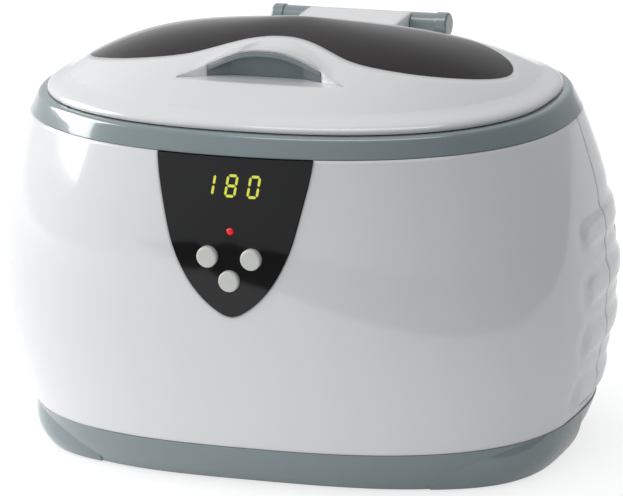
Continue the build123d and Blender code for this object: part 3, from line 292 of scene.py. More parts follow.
WHITE_SHELL = Finish("white_shell", (0.80, 0.80, 0.805), (0.785, 0.785, 0.79), 0.11, 0.02,
                     coat=0.6, coat_roughness=0.03, ior=1.58, grain_strength=0.02, edge=0.0020)
FINISHES = (
    WHITE_SHELL,
    replace(WHITE_SHELL, edge=0.0034, node="lid_shell"),
    Finish("white_liner", (0.72, 0.725, 0.735), (0.68, 0.685, 0.70), 0.42, 0.08,
           grain_scale=1500.0, grain_strength=0.2),
    Finish("grey_trim", (0.215, 0.268, 0.276), (0.208, 0.261, 0.269), 0.16, 0.02, coat=0.9,
           grain_strength=0.02, edge=0.0006),
    Finish("grey_insert", (0.18, 0.215, 0.235), (0.17, 0.205, 0.225), 0.30, 0.03,
           grain_scale=1300.0, grain_strength=0.05, edge=0.0006),
    Finish("smoked_window", (0.044, 0.033, 0.033), (0.036, 0.028, 0.028), 0.10, 0.02,
           transmission=0.5, ior=1.30, grain_strength=0.02),
    Finish("stainless", (0.60, 0.605, 0.61), (0.52, 0.525, 0.53), 0.16, 0.16,
           Effect.BRUSHED, grain_scale=45.0, metallic=1.0, grain_strength=0.05),
    Finish("seal_silicone", (0.62, 0.62, 0.60), (0.56, 0.56, 0.54), 0.55, 0.10),
    Finish("foot_rubber", (0.020, 0.020, 0.020), (0.030, 0.029, 0.028), 0.72, 0.12,
           grain_scale=1800.0, grain_strength=0.35),
    Finish("screw_steel", (0.50, 0.50, 0.51), (0.36, 0.36, 0.37), 0.30, 0.20,
           Effect.BRUSHED, grain_scale=120.0, metallic=1.0, grain_strength=0.1),
    Finish("basket_plastic", (0.70, 0.73, 0.76), (0.64, 0.675, 0.71), 0.36, 0.08,
           grain_scale=1200.0, grain_strength=0.15),
    Finish("panel_gloss", (0.0045, 0.0045, 0.0050), (0.0055, 0.0055, 0.0060), 0.06, 0.01,
           coat=0.1, ior=1.42, grain_strength=0.01),
    Finish("digit_glow", (0.35, 0.45, 0.02), (0.30, 0.40, 0.02), 0.35, 0.05,
           glow=0.6, glow_color=(0.78, 0.74, 0.13)),
    Finish("dark_plastic", (0.022, 0.022, 0.024), (0.032, 0.032, 0.034), 0.46, 0.12),
    Finish("button_cap", (0.70, 0.705, 0.665), (0.67, 0.675, 0.635), 0.34, 0.04,
           grain_scale=1400.0, grain_strength=0.18),
    Finish("led_red", (0.55, 0.008, 0.015), (0.45, 0.006, 0.010), 0.22, 0.05,
           glow=0.45, glow_color=(0.80, 0.012, 0.02)),
    Finish("board_green", (0.014, 0.085, 0.035), (0.022, 0.115, 0.048), 0.36, 0.12,
           grain_scale=600.0, grain_strength=0.3),
    Finish("gland_rubber", (0.030, 0.031, 0.033), (0.042, 0.042, 0.043), 0.62, 0.12,
           grain_scale=1600.0, grain_strength=0.3),
    Finish("sink_aluminium", (0.66, 0.67, 0.68), (0.56, 0.57, 0.58), 0.28, 0.18,
           Effect.BRUSHED, grain_scale=80.0, metallic=1.0, grain_strength=0.12),
    Finish("capacitor_sleeve", (0.018, 0.030, 0.095), (0.026, 0.040, 0.115), 0.34, 0.08),
    Finish("fuse_glass", (0.62, 0.65, 0.64), (0.55, 0.58, 0.57), 0.12, 0.06,
           transmission=0.6, ior=1.47),
    Finish("core_iron", (0.16, 0.16, 0.17), (0.06, 0.06, 0.065), 0.42, 0.15,
           Effect.STACKED, grain_scale=320.0, metallic=0.8, grain_strength=0.4),
    Finish("coil_copper", (0.48, 0.20, 0.075), (0.28, 0.10, 0.035), 0.30, 0.12,
           Effect.STACKED, grain_scale=420.0, metallic=0.7, grain_strength=0.5),
    Finish("piezo_ceramic", (0.50, 0.47, 0.41), (0.42, 0.39, 0.34), 0.48, 0.12,
           grain_scale=1500.0, grain_strength=0.3),
)


@dataclass
class FinishShelf:
    """Holds the finished materials by slot and puts them on pieces."""

    materials: dict[str, bpy.types.Material] = field(default_factory=dict)

    def stock(self) -> None:
        """Builds the node groups and a material for each finish."""
        make_moulded_group()
        make_brushed_group()
        make_stacked_group()
        for finish in FINISHES:
            self.materials[finish.node or finish.slot] = finish.material()
        log.info("finishes: %d", len(self.materials))

    def dress_nodes(self, frame: dict) -> None:
        """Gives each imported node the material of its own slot.
        """
        for part in frame["record"]["subparts"]:
            node = frame["nodes"][part["node"]]
            node.data.materials.clear()
            own = self.materials.get(part["node"], self.materials[part["material_slot"]])
            node.data.materials.append(own)
            log.info("node %s: %s", part["node"], part["material_slot"])

    def put_on(self, piece: bpy.types.Object, slot: str) -> None:
        """Gives a new piece the finish of a slot."""
        piece.data.materials.clear()
        piece.data.materials.append(self.materials[slot])


# ---------------------------------------------------------------- ovals and sheets
# Each oval is (height, half width, half depth, power), in millimetres like every size here.
BODY_OVALS = ((14.9, 94.2, 64.6, 2.61), (39.6, 100.5, 70.8, 2.56), (64.4, 102.5, 72.5, 2.52),
              (89.1, 99.8, 70.2, 2.40), (113.9, 93.2, 64.8, 2.25))
SHELL_WALL = 2.5
SEAM_Y = 5.0
SEAM_GAP = 0.3
SHIELD_ROWS = ((113.9, 26.7), (107.5, 25.8), (101.0, 24.4), (92.7, 22.4), (86.0, 20.5),
               (79.3, 17.6), (73.0, 13.8), (67.7, 9.1), (64.1, 4.4))
SHIELD_TIP = 62.5
SHIELD_GAP = 0.15
GILL_TOPS = (85.0, 66.5, 48.5, 29.5)
GILL_HEIGHT = 12.5
GILL_SPAN = (-16.0, 44.0)
GILL_PROUD = 0.68
GILL_SOFT = 4.6
GILL_TROUGH = 0.45
GILL_FADE = 3.4
SLIT_HEIGHT = 1.5
SLIT_SPAN = (22.0, 46.0)
GLAND_Z = 30.0
GLAND_HALF_HOLE = 6.2
RING_TOP_OVAL = (120.5, 89.3, 62.1, 2.36)
RING_OPENING = (79.0, 49.0, 3.0)
RING_POCKET = (84.5, 54.5, 3.0)
RING_POCKET_TOP = 115.7
SHUT_LINE = 0.04
RING_ROUND = 1.3
HINGE_Y = 56.0
HINGE_Z = 128.8
EAR_RADIUS = 3.8
EAR_SPAN = (18.8, 27.6)
EAR_ROOT = 118.0
PAD_RADIUS = 9.5
PAD_BORE = 5.6
PAD_SPAN = (64.9, 72.9)
BAR_SHRINK = 0.26

# How finely the pieces are drawn, and the radii of their edges.
OUTLINE_STEPS = 24
TIP_MARGIN = 2.0
FINE_ROWS_TOP = 72.0
FRONT_REACH = 170.0
REAR_COLUMNS = (14, 20, 50, 5)
PAD_COLUMNS = 96
RING_COLUMNS = 320
SHOULDER_STEPS = 7
EAR_COLUMNS = 24
TOUCH = 1e-6
FRONT_EDGE = 0.35
REAR_EDGE = 0.3
PAD_EDGE = 0.5
RING_EDGE = 0.25
RING_EDGE_ANGLE = 35.0


def between(ovals: tuple, z: Grid) -> Grid:
    """Sizes of the body's oval at given heights.

    Each size is the polynomial in height that passes through the given ovals (Lagrange).

    Args:
        ovals: (height, half width, half depth, power) of each known oval.
        z: heights.

    Returns:
        One row of half width, half depth and power for each height.
    """
    table = np.asarray(ovals, float)
    z = np.atleast_1d(np.asarray(z, float))
    sizes = np.zeros((len(z), 3))
    for i, row in enumerate(table):
        share = np.ones(len(z))
        for j, other in enumerate(table):
            if i != j:
                share *= (z - other[0]) / (row[0] - other[0])
        sizes += share[:, None] * row[1:]
    return sizes


def oval_ring(sizes: Grid, turn: Grid) -> tuple[Grid, Grid]:
    """Points of |x/a|^n + |y/b|^n = 1 at polar angles.

    x is a cos t r and y is b sin t r, where r is (|cos t|^n + |sin t|^n)^(-1/n).
    """
    a, b, n = (sizes[..., k] for k in range(3))
    c, s = np.cos(turn), np.sin(turn)
    reach = (np.abs(c) ** n + np.abs(s) ** n) ** (-1.0 / n)
    return a * c * reach, b * s * reach


def turn_at_depth(sizes: Grid, y: float) -> Grid:
    """Polar angle at which the right side of each oval reaches a depth y."""
    b, n = sizes[..., 1], sizes[..., 2]
    across = (1.0 - np.abs(y / b) ** n) ** (1.0 / n)
    return np.arctan2(y / b, across)


def turn_at_width(sizes: Grid, x: Grid, back: bool = False) -> Grid:
    """Polar angle at which the front, or the back, of each oval reaches a half width x."""
    a, n = sizes[..., 0], sizes[..., 2]
    deep = (1.0 - np.abs(x / a) ** n) ** (1.0 / n)
    return np.arctan2(deep if back else -deep, x / a)


def stepped(marks: list[float], step: float) -> Grid:
    """Values from the first mark to the last, through each mark, about a step apart."""
    runs = [np.linspace(lo, hi, max(int(np.ceil((hi - lo) / step)), 1), endpoint=False)
            for lo, hi in zip(marks[:-1], marks[1:])]
    return np.append(np.concatenate(runs), marks[-1])


def grid_faces(rows: int, cols: int, keep: Grid | None = None) -> Grid:
    """Quads of a grid of points, in row order, less those that keep leaves out."""
    first = np.arange((rows - 1) * cols).reshape(rows - 1, cols)[:, :-1]
    faces = np.stack([first, first + 1, first + cols + 1, first + cols], axis=-1)
    return faces[keep] if keep is not None else faces.reshape(-1, 4)


@dataclass
class MeshBuilder:
    """Gathers points and quads in millimetres and makes one object of them."""

    points: list[Grid] = field(default_factory=list)
    faces: list[Grid] = field(default_factory=list)
    count: int = 0

    def add(self, points: Grid, faces: Grid) -> None:
        """Adds points of any shape (..., 3) and the quads over them."""
        flat = np.asarray(points, float).reshape(-1, 3)
        self.points.append(flat)
        self.faces.append(np.asarray(faces) + self.count)
        self.count += len(flat)

    def sheet(self, points: Grid, keep: Grid | None = None, flip: bool = False) -> None:
        """Adds a grid of points (rows, columns, 3) as quads."""
        faces = grid_faces(points.shape[0], points.shape[1], keep)
        self.add(points, faces[:, ::-1] if flip else faces)

    def tube(self, points: Grid, flip: bool = False) -> None:
        """Adds a grid of points that closes on itself both ways."""
        rows, cols = points.shape[:2]
        i = np.arange(rows)[:, None]
        j = np.arange(cols)[None, :]
        corner = [(i % rows) * cols + j % cols, (i % rows) * cols + (j + 1) % cols,
                  ((i + 1) % rows) * cols + (j + 1) % cols, ((i + 1) % rows) * cols + j % cols]
        faces = np.stack([c + 0 * i + 0 * j for c in corner], axis=-1).reshape(-1, 4)
        self.add(points, faces[:, ::-1] if flip else faces)

    @staticmethod
    def face_outwards(mesh: bpy.types.Mesh) -> None:
        """Turns every face away from the middle of the object."""
        work = bmesh.new()
        work.from_mesh(mesh)
        bmesh.ops.recalc_face_normals(work, faces=work.faces)
        flux = sum(face.normal.dot(face.calc_center_median()) * face.calc_area()
                   for face in work.faces)
        if flux < 0.0:
            bmesh.ops.reverse_faces(work, faces=work.faces)
        work.to_mesh(mesh)
        work.free()

    def build(self, name: str) -> bpy.types.Object:
        """Welds equal points and makes a smooth mesh object in metres.

        Args:
            name: the object's name.

        Returns:
            The object, linked to the scene.
        """
        points = np.concatenate(self.points)
        faces = np.concatenate(self.faces)
        _, first, same = np.unique(np.round(points, 4), axis=0, return_index=True,
                                   return_inverse=True)
        faces = same.reshape(-1)[faces]
        order = np.sort(faces, axis=1)
        whole = (np.diff(order, axis=1) > 0).all(axis=1)
        faces = faces[whole]
        mesh = bpy.data.meshes.new(name)
        mesh.vertices.add(len(first))
        mesh.vertices.foreach_set("co", (points[first] * MM).astype(np.float32).ravel())
        mesh.loops.add(faces.size)
        mesh.loops.foreach_set("vertex_index", faces.astype(np.int32).ravel())
        mesh.polygons.add(len(faces))
        mesh.polygons.foreach_set("loop_start", np.arange(0, faces.size, 4, dtype=np.int32))
        mesh.polygons.foreach_set("use_smooth", np.ones(len(faces), dtype=bool))
        mesh.update(calc_edges=True)
        mesh.validate()
        self.face_outwards(mesh)
        piece = bpy.data.objects.new(name, mesh)
        bpy.context.scene.collection.objects.link(piece)
        log.info("piece %s: %d quads", name, len(faces))
        return piece


def thicken(piece: bpy.types.Object, wall: float) -> None:
    """Gives a sheet a wall on its inner side."""
    solid = piece.modifiers.new("wall", "SOLIDIFY")
    solid.thickness = wall * MM
    solid.offset = -1.0


def soften(piece: bpy.types.Object, width: float, angle: float = 40.0, segments: int = 3) -> None:
    """Rounds a piece's edges and evens its shading."""
    bevel = piece.modifiers.new("edges", "BEVEL")
    bevel.width = width * MM
    bevel.segments = segments
    bevel.limit_method = "ANGLE"
    bevel.angle_limit = math.radians(angle)
    bevel.harden_normals = True


def thin_bars(bars: bpy.types.Object) -> None:
    """Draws the lit bars in a little, so that a dark line of their slots shows round them."""
    thin = bars.modifiers.new("thin", "DISPLACE")
    thin.mid_level = 0.0
    thin.strength = -BAR_SHRINK * MM


# ---------------------------------------------------------------- housing
@dataclass
class Housing:
    """The two moulded shells, the trim ring with its hinge ears and the inlet's pad."""

    shelf: FinishShelf
    row_step: float = 1.2
    column_step: float = 1.25

    def gilled(self, points: Grid) -> Grid:
        """Raises the gills: long rounded bands that swell softly out of a shallow trough.

        Inside a band the height grows with the distance from the band's edge as
        3 u^2 - 2 u^3, where u is that distance over the soft width.  Outside it the trough
        fades as exp(-v^2), where v is the distance over the fade.

        Args:
            points: a grid of surface points, rows upwards.

        Returns:
            The same grid with the bands raised along the surface's normals.
        """
        along = np.gradient(points, axis=1)
        upward = np.gradient(points, axis=0)
        normal = np.cross(along, upward)
        normal /= np.linalg.norm(normal, axis=-1, keepdims=True) + 1e-12
        outward = np.sign((normal[..., :2] * points[..., :2]).sum(-1, keepdims=True))
        half = GILL_HEIGHT / 2
        middle = (GILL_SPAN[0] + GILL_SPAN[1]) / 2
        reach = (GILL_SPAN[1] - GILL_SPAN[0]) / 2 - half
        inside = np.full(points.shape[:2], -np.inf)
        for top in GILL_TOPS:
            dy = np.maximum(np.abs(points[..., 1] - middle) - reach, 0.0)
            inside = np.maximum(inside, half - np.hypot(dy, points[..., 2] - (top - half)))
        share = np.clip(inside / GILL_SOFT, 0.0, 1.0)
        trough = GILL_TROUGH * np.exp(-(np.minimum(inside, 0.0) / GILL_FADE) ** 2)
        rise = (GILL_PROUD + GILL_TROUGH) * share * share * (3.0 - 2.0 * share) - trough
        return points + normal * outward * rise[..., None]

    def panel_edge(self, z: Grid) -> Grid:
        """Half width of the panel's opening at given heights, none below its tip.

        The outline is a Catmull-Rom curve through the shield's rows and its tip.
        """
        knots = np.array([(w, h) for h, w in SHIELD_ROWS] + [(0.0, SHIELD_TIP)]
                         + [(-SHIELD_ROWS[-1][1], SHIELD_ROWS[-1][0])])
        knots = np.vstack([2 * knots[0] - knots[1], knots])
        spots = []
        for a, b, c, d in zip(knots, knots[1:], knots[2:], knots[3:]):
            u = np.linspace(0.0, 1.0, OUTLINE_STEPS, endpoint=False)[:, None]
            spots.append(0.5 * (2 * b + (c - a) * u + (2 * a - 5 * b + 4 * c - d) * u * u
                                + (3 * b - a - 3 * c + d) * u ** 3))
        curve = np.vstack([*spots, [[0.0, SHIELD_TIP]]])[::-1]
        width = np.interp(z, curve[:, 1], curve[:, 0] + SHIELD_GAP)
        return np.where(z < SHIELD_TIP - TOUCH, 0.0, width)

    def front(self) -> bpy.types.Object:
        """Makes the front shell: two mirrored sheets that meet under the panel's tip."""
        low, high = BODY_OVALS[0][0] + SHUT_LINE, BODY_OVALS[-1][0] - SHUT_LINE
        tip = SHIELD_TIP - SHIELD_GAP
        z = np.append(stepped([low, tip], self.row_step)[:-1],
                      stepped([tip, SHIELD_TIP + TIP_MARGIN, FINE_ROWS_TOP, high],
                              self.row_step / 2))
        sizes = between(BODY_OVALS, z)
        edge = self.panel_edge(z + SHIELD_GAP * (z < SHIELD_TIP + TIP_MARGIN / 2))
        edge[z < tip + TOUCH] = 0.0
        start = turn_at_width(sizes, edge)
        finish = turn_at_depth(sizes, SEAM_Y - SEAM_GAP / 2)
        count = int(FRONT_REACH / self.column_step)
        share = np.linspace(0.0, 1.0, count)[None, :]
        turn = start[:, None] + (finish - start)[:, None] * share
        x, y = oval_ring(sizes[:, None, :], turn)
        points = np.stack([x, y, np.broadcast_to(z[:, None], x.shape)], axis=-1)
        points = self.gilled(points)
        points[:, 0, 0] = edge
        mirrored = points * np.array([-1.0, 1.0, 1.0])
        builder = MeshBuilder()
        builder.sheet(points)
        builder.sheet(mirrored, flip=True)
        piece = builder.build("front_skin")
        thicken(piece, SHELL_WALL)
        soften(piece, FRONT_EDGE)
        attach(piece, "housing")
        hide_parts("front_shell")
        self.shelf.put_on(piece, "white_shell")
        return piece

    def rear(self) -> bpy.types.Object:
        """Makes the rear shell with its vent slits and the inlet's hole."""
        marks = [BODY_OVALS[0][0] + SHUT_LINE, GLAND_Z - GLAND_HALF_HOLE, GLAND_Z + GLAND_HALF_HOLE]
        slits = [top - GILL_HEIGHT - SLIT_HEIGHT for top in GILL_TOPS[:-1]]
        for low in slits:
            marks += [low, low + SLIT_HEIGHT]
        marks = sorted([*marks, BODY_OVALS[-1][0] - SHUT_LINE])
        z = stepped(marks, self.row_step)
        sizes = between(BODY_OVALS, z)
        stops = [turn_at_depth(sizes, SEAM_Y + SEAM_GAP / 2), turn_at_depth(sizes, SLIT_SPAN[0]),
                 turn_at_depth(sizes, SLIT_SPAN[1]),
                 turn_at_width(sizes, np.full(len(z), GLAND_HALF_HOLE), back=True),
                 np.full(len(z), math.pi / 2)]
        runs = [lo[:, None] + (hi - lo)[:, None] * np.linspace(0.0, 1.0, n, endpoint=False)
                for lo, hi, n in zip(stops, stops[1:], REAR_COLUMNS)]
        turn = np.concatenate([*runs, stops[-1][:, None]], axis=1)
        turn = np.concatenate([turn, math.pi - turn[:, -2::-1]], axis=1)
        x, y = oval_ring(sizes[:, None, :], turn)
        points = np.stack([x, y, np.broadcast_to(z[:, None], x.shape)], axis=-1)
        middle = (points[1:, 1:] + points[:-1, :-1]) / 2
        inside_hole = ((np.abs(middle[..., 0]) < GLAND_HALF_HOLE)
                       & (np.abs(middle[..., 2] - GLAND_Z) < GLAND_HALF_HOLE))
        slit = np.zeros(inside_hole.shape, dtype=bool)
        for low in slits:
            slit |= ((middle[..., 2] > low) & (middle[..., 2] < low + SLIT_HEIGHT)
                     & (middle[..., 1] > SLIT_SPAN[0]) & (middle[..., 1] < SLIT_SPAN[1]))
        builder = MeshBuilder()
        builder.sheet(self.gilled(points), keep=~(inside_hole | slit))
        piece = builder.build("rear_skin")
        thicken(piece, SHELL_WALL)
        soften(piece, REAR_EDGE)
        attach(piece, "housing")
        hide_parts("rear_shell")
        self.shelf.put_on(piece, "white_shell")
        return piece

    def inlet_pad(self) -> bpy.types.Object:
        """Makes the round pad that the mains inlet passes through."""
        turn = np.linspace(0.0, 2.0 * math.pi, PAD_COLUMNS, endpoint=False)
        profile = ((PAD_RADIUS, PAD_SPAN[0]), (PAD_RADIUS, PAD_SPAN[1]), (PAD_BORE, PAD_SPAN[1]),
                   (PAD_BORE, PAD_SPAN[0]))
        rings = [np.stack([r * np.cos(turn), np.full(PAD_COLUMNS, y),
                           GLAND_Z + r * np.sin(turn)], axis=-1) for r, y in profile]
        builder = MeshBuilder()
        builder.tube(np.array(rings))
        piece = builder.build("inlet_pad")
        soften(piece, PAD_EDGE)
        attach(piece, "housing")
        self.shelf.put_on(piece, "white_shell")
        return piece

    def ring(self) -> bpy.types.Object:
        """Makes the trim ring with the two ears that carry the lid's hinge.

        The shoulder between its outer face and its ledge is a quadratic Bezier curve,
        (1-s)^2 p + 2 s (1-s) q + s^2 r, in height, half width and half depth alike.
        """
        turn = np.linspace(0.0, 2.0 * math.pi, RING_COLUMNS, endpoint=False)
        bottom = np.array([BODY_OVALS[-1][0] + SHUT_LINE, *BODY_OVALS[-1][1:]])
        top = np.array(RING_TOP_OVAL)
        below = top + (bottom - top) * RING_ROUND / (top[0] - bottom[0])
        ledge = top - np.array([0.0, RING_ROUND, RING_ROUND, 0.0])
        share = np.linspace(0.0, 1.0, SHOULDER_STEPS)[:, None]
        shoulder = (1 - share) ** 2 * below + 2 * share * (1 - share) * top + share ** 2 * ledge
        loop = [bottom, (bottom + below) / 2, *shoulder, (top[0], *RING_OPENING),
                (RING_POCKET_TOP, *RING_OPENING), (RING_POCKET_TOP, *RING_POCKET),
                (bottom[0], *RING_POCKET)]
        rings = []
        for z, *sizes in loop:
            x, y = oval_ring(np.array(sizes)[None, :], turn)
            rings.append(np.stack([x, y, np.full(len(turn), z)], axis=-1))
        builder = MeshBuilder()
        builder.tube(np.array(rings))
        for side in (-1.0, 1.0):
            self.ear(builder, side)
        piece = builder.build("trim_ring")
        soften(piece, RING_EDGE, angle=RING_EDGE_ANGLE)
        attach(piece, "housing")
        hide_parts("top_trim_ring")
        self.shelf.put_on(piece, "grey_trim")
        return piece

    def ear(self, builder: MeshBuilder, side: float) -> None:
        """Adds one hinge ear: an arch-topped plate along X."""
        turn = np.linspace(0.0, math.pi, EAR_COLUMNS)
        y = np.concatenate([[EAR_RADIUS], EAR_RADIUS * np.cos(turn), [-EAR_RADIUS]]) + HINGE_Y
        z = np.concatenate([[EAR_ROOT], HINGE_Z + EAR_RADIUS * np.sin(turn), [EAR_ROOT]])
        loops = [np.stack([np.full(len(y), side * x), y, z], axis=-1) for x in EAR_SPAN]
        n = len(y)
        walls = [(k, (k + 1) % n, n + (k + 1) % n, n + k) for k in range(n)]
        caps = [(start + k, start + k + 1, start + n - 2 - k, start + n - 1 - k)
                for start in (0, n) for k in range(n // 2 - 1)]
        builder.add(np.concatenate(loops), np.array(walls + caps))

    def build(self) -> None:
        """Makes every piece of the housing's outside."""
        self.front()
        self.rear()
        self.inlet_pad()
        self.ring()


# ---------------------------------------------------------------- lid
LID_HALF_WIDTH = 86.6
LID_HALF_DEPTH = 59.5
LID_POWER = 2.36
LID_BASE = 120.9
RIM_RISE = 0.6
DOME_RISE = 22.65
DOME_POWER = 1.483
DOME_FALL = 1.10
DOME_SPREAD = 1.148
DOME_LEAN = 0.307
HOOD_RISE = 6.85
HOOD_SINK = 0.35
HOOD_HALF_WIDTH = 29.0
HOOD_START = -17.5
HOOD_FLARE = 12.5
HOOD_CURVE = 1.3
HOOD_EDGE = 2.4
HOOD_ARCH = 3.0
HOOD_BEND = 12.0
FACE_Y = -35.3
FACE_END_Y = -39.2
GRIP_MOUTH = 19.8
GRIP_FLOOR_Z = 131.9
LIP_TOP = 0.68
LIP_HEIGHT = 1.5
LIP_PROUD = 0.22
LIP_DEEP = 0.5
LIP_INSET = 0.15
LIP_CLEAR = 0.1
LIP_LEAST = 0.3
LIP_COLUMNS = 90
LIP_STEPS = 9
LIP_EDGE = 0.15
LIP_EDGE_ANGLE = 50.0
ROLL_WIDTH = 8.5
ROLL_BULGE = 4.4
ROLL_SINK = 0.10
ROLL_CLEAR = 0.06
ROLL_SKIRT = 0.15
ROLL_LEAN = 0.5
ROLL_TUCK = 0.9
ROLL_SKIN = 1.2
ROLL_THICK = 0.6
TUCK_STEPS = 7
NOTCH_EDGE = 34.4


def dome_height(x: Grid, y: Grid) -> Grid:
    """Height of the lid's dome: a fall from the middle by a power of the oval's reach."""
    reach = (np.abs(x / LID_HALF_WIDTH) ** LID_POWER
             + np.abs(y / LID_HALF_DEPTH) ** LID_POWER) ** (1 / LID_POWER)
    left = 1 - reach ** DOME_POWER
    shape = 1 + DOME_SPREAD * (x / LID_HALF_WIDTH) ** 2 - DOME_LEAN * y / LID_HALF_DEPTH
    return LID_BASE + RIM_RISE + DOME_RISE * np.sign(left) * np.abs(left) ** DOME_FALL * shape


def hood_height(x: Grid, y: Grid) -> Grid:
    """Height of the hood over the finger grip: the dome, and a bulge that grows forward."""
    side = np.minimum(np.abs(x) / HOOD_HALF_WIDTH, 1.0)
    arch = (1 - side ** HOOD_EDGE) ** HOOD_ARCH
    bend = np.maximum((np.abs(x) - HOOD_BEND) / (HOOD_HALF_WIDTH - HOOD_BEND), 0.0) ** 2
    start = HOOD_START - HOOD_FLARE * (1 - np.cos(np.pi * side)) / 2
    front = FACE_Y + (FACE_END_Y - FACE_Y) * bend
    along = np.maximum((start - y) / (start - front), 0.0)
    return dome_height(x, y) + HOOD_RISE * arch * along ** HOOD_CURVE - HOOD_SINK


@dataclass
class LidTrim:
    """The lid's rolled rim and the soft lip over the finger grip's mouth.

    turns and steps count the rim's points along the outline and across it.
    """

    shelf: FinishShelf
    turns: int = 400
    steps: int = 18

    def around(self, inset: Grid) -> tuple[Grid, Grid]:
        """Points of ovals inside the lid's outline, from one side of its notch to the other.

        Args:
            inset: distance of each oval from the outline, as a column.

        Returns:
            x and y, one row for each oval.
        """
        sizes = np.stack([LID_HALF_WIDTH - inset, LID_HALF_DEPTH - inset,
                          np.full_like(inset, LID_POWER)], axis=-1)
        limit = turn_at_width(sizes, NOTCH_EDGE, back=True)
        turn = limit - (math.pi + 2 * limit) * np.linspace(0.0, 1.0, self.turns)
        return oval_ring(sizes, turn)

    def rolled_rim(self) -> bpy.types.Object:
        """Makes the rolled rim: a thin skin over the outer part of the dome.

        At a distance s in from the outline the skin lies b (1 - u)^3 sqrt(u) over the dome,
        where u is s over the skin's width and b falls from front to rear, so it stands
        upright at its edge and joins the dome smoothly.  Below the edge it tucks in along a
        quarter of an ellipse.  Its inner side lies inside the lid's wall.
        """
        u = np.linspace(1.0, 0.0, self.steps)[:, None] ** 2
        sink = np.sin(np.linspace(0.0, math.pi / 2, TUCK_STEPS)[1:, None])
        tuck = ROLL_TUCK * (1 - np.sqrt(1 - sink ** 2))
        inset = np.concatenate([u * ROLL_WIDTH, tuck]) - ROLL_CLEAR
        inner = ROLL_SKIN + inset * (1 - ROLL_SKIN / ROLL_WIDTH)
        sides = []
        for reach, bulge, below in ((inset, ROLL_BULGE, 0.0), (inner, 0.0, ROLL_THICK)):
            x, y = self.around(reach)
            lift = bulge * (1 - ROLL_LEAN * (1 + y[:self.steps] / LID_HALF_DEPTH) / 2)
            top = dome_height(x, y)[:self.steps] - ROLL_SINK * u ** 6 - below
            top += lift * (1 - u) ** 3 * np.sqrt(u)
            side = top[-1] + (LID_BASE - ROLL_SKIRT - top[-1]) * sink
            sides.append(np.stack([x, y, np.concatenate([top, side])], axis=-1))
        builder = MeshBuilder()
        builder.sheet(np.concatenate([sides[0], sides[1][::-1], sides[0][:1]]))
        for end, flip in ((0, False), (-1, True)):
            builder.sheet(np.stack([sides[0][:, end], sides[1][:, end]]), flip=flip)
        piece = builder.build("lid_rim")
        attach(piece, "lid")
        self.shelf.put_on(piece, "white_shell")
        return piece

    def grip_lip(self) -> bpy.types.Object:
        """Makes the lip: a rounded band that follows the hood's arch over the mouth.

        Its section is a half ellipse, cos t across and sin t forward, moved along the arch.
        """
        x = np.linspace(-GRIP_MOUTH + LIP_INSET, GRIP_MOUTH - LIP_INSET, LIP_COLUMNS)
        crown = hood_height(x, np.full(len(x), FACE_Y)) - LIP_TOP
        turn = np.linspace(0.0, math.pi, LIP_STEPS)
        drop = np.minimum(LIP_HEIGHT, np.maximum(crown - GRIP_FLOOR_Z - LIP_CLEAR, LIP_LEAST))
        z = crown[:, None] - drop[:, None] * (1 - np.cos(turn)) / 2
        y = FACE_Y - LIP_PROUD * np.broadcast_to(np.sin(turn), z.shape)
        front = np.stack([np.broadcast_to(x[:, None], z.shape), y, z], axis=-1)
        back = front.copy()
        back[..., 1] = FACE_Y + LIP_DEEP
        builder = MeshBuilder()
        builder.sheet(np.concatenate([front, back[:, ::-1], front[:, :1]], axis=1))
        for end, flip in ((0, False), (-1, True)):
            builder.sheet(np.stack([front[end], back[end]]), flip=flip)
        piece = builder.build("grip_lip")
        soften(piece, LIP_EDGE, angle=LIP_EDGE_ANGLE, segments=2)
        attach(piece, "lid")
        self.shelf.put_on(piece, "grey_trim")
        return piece

    def build(self) -> None:
        """Makes every piece of the lid's trim."""
        self.rolled_rim()
        self.grip_lip()


# ---------------------------------------------------------------- studio
@dataclass(frozen=True)
class Lamp:
    """A rectangular soft lamp: its place and size in metres, its watts and what it lights."""

    name: str
    place: tuple[float, float, float]
    size: tuple[float, float]
    power: float
    lights: bool = True
    mirrored: bool = True

    def stand(self) -> None:
        """Makes the lamp, facing the middle of the object."""
        data = bpy.data.lights.new(self.name, "AREA")
        data.shape = "RECTANGLE"
        data.size, data.size_y = self.size
        data.energy = self.power
        lamp = bpy.data.objects.new(self.name, data)
        aim = Vector(LAMP_AIM) - Vector(self.place)
        lamp.matrix_world = (Matrix.Translation(Vector(self.place))
                             @ aim.to_track_quat("-Z", "Y").to_matrix().to_4x4())
        lamp.visible_diffuse = self.lights
        lamp.visible_glossy = self.mirrored
        bpy.context.scene.collection.objects.link(lamp)


LAMP_AIM = (0.0, 0.0, 0.07)
LAMPS = (
    Lamp("key_softbox", (-1.38, -0.22, 0.80), (0.7, 0.9), 8.0, mirrored=False),
    Lamp("key_glint", (-1.42, -0.10, 0.70), (1.05, 0.9), 24.0, lights=False),
    Lamp("edge_glint", (0.1, -0.55, 1.40), (1.3, 0.5), 7.0, lights=False),
    Lamp("far_softbox", (1.2, 1.9, 0.95), (2.2, 1.5), 4.5, mirrored=False),
)
ROOM_COLOR = (0.97, 0.985, 1.0, 1.0)
WHITE = (1.0, 1.0, 1.0, 1.0)
FLOOR_HALF = 6.0
TABLE_LIGHT = (0.85, 0.85, 0.85, 1.0)
# painted shade: the colour of the reflected table where shade is painted on it
TABLE_PAINTED_SHADE = (0.20, 0.20, 0.20, 1.0)
SEEN_FLOOR = (0.42, 0.42, 0.42, 1.0)
SEEN_LIFT = 0.72


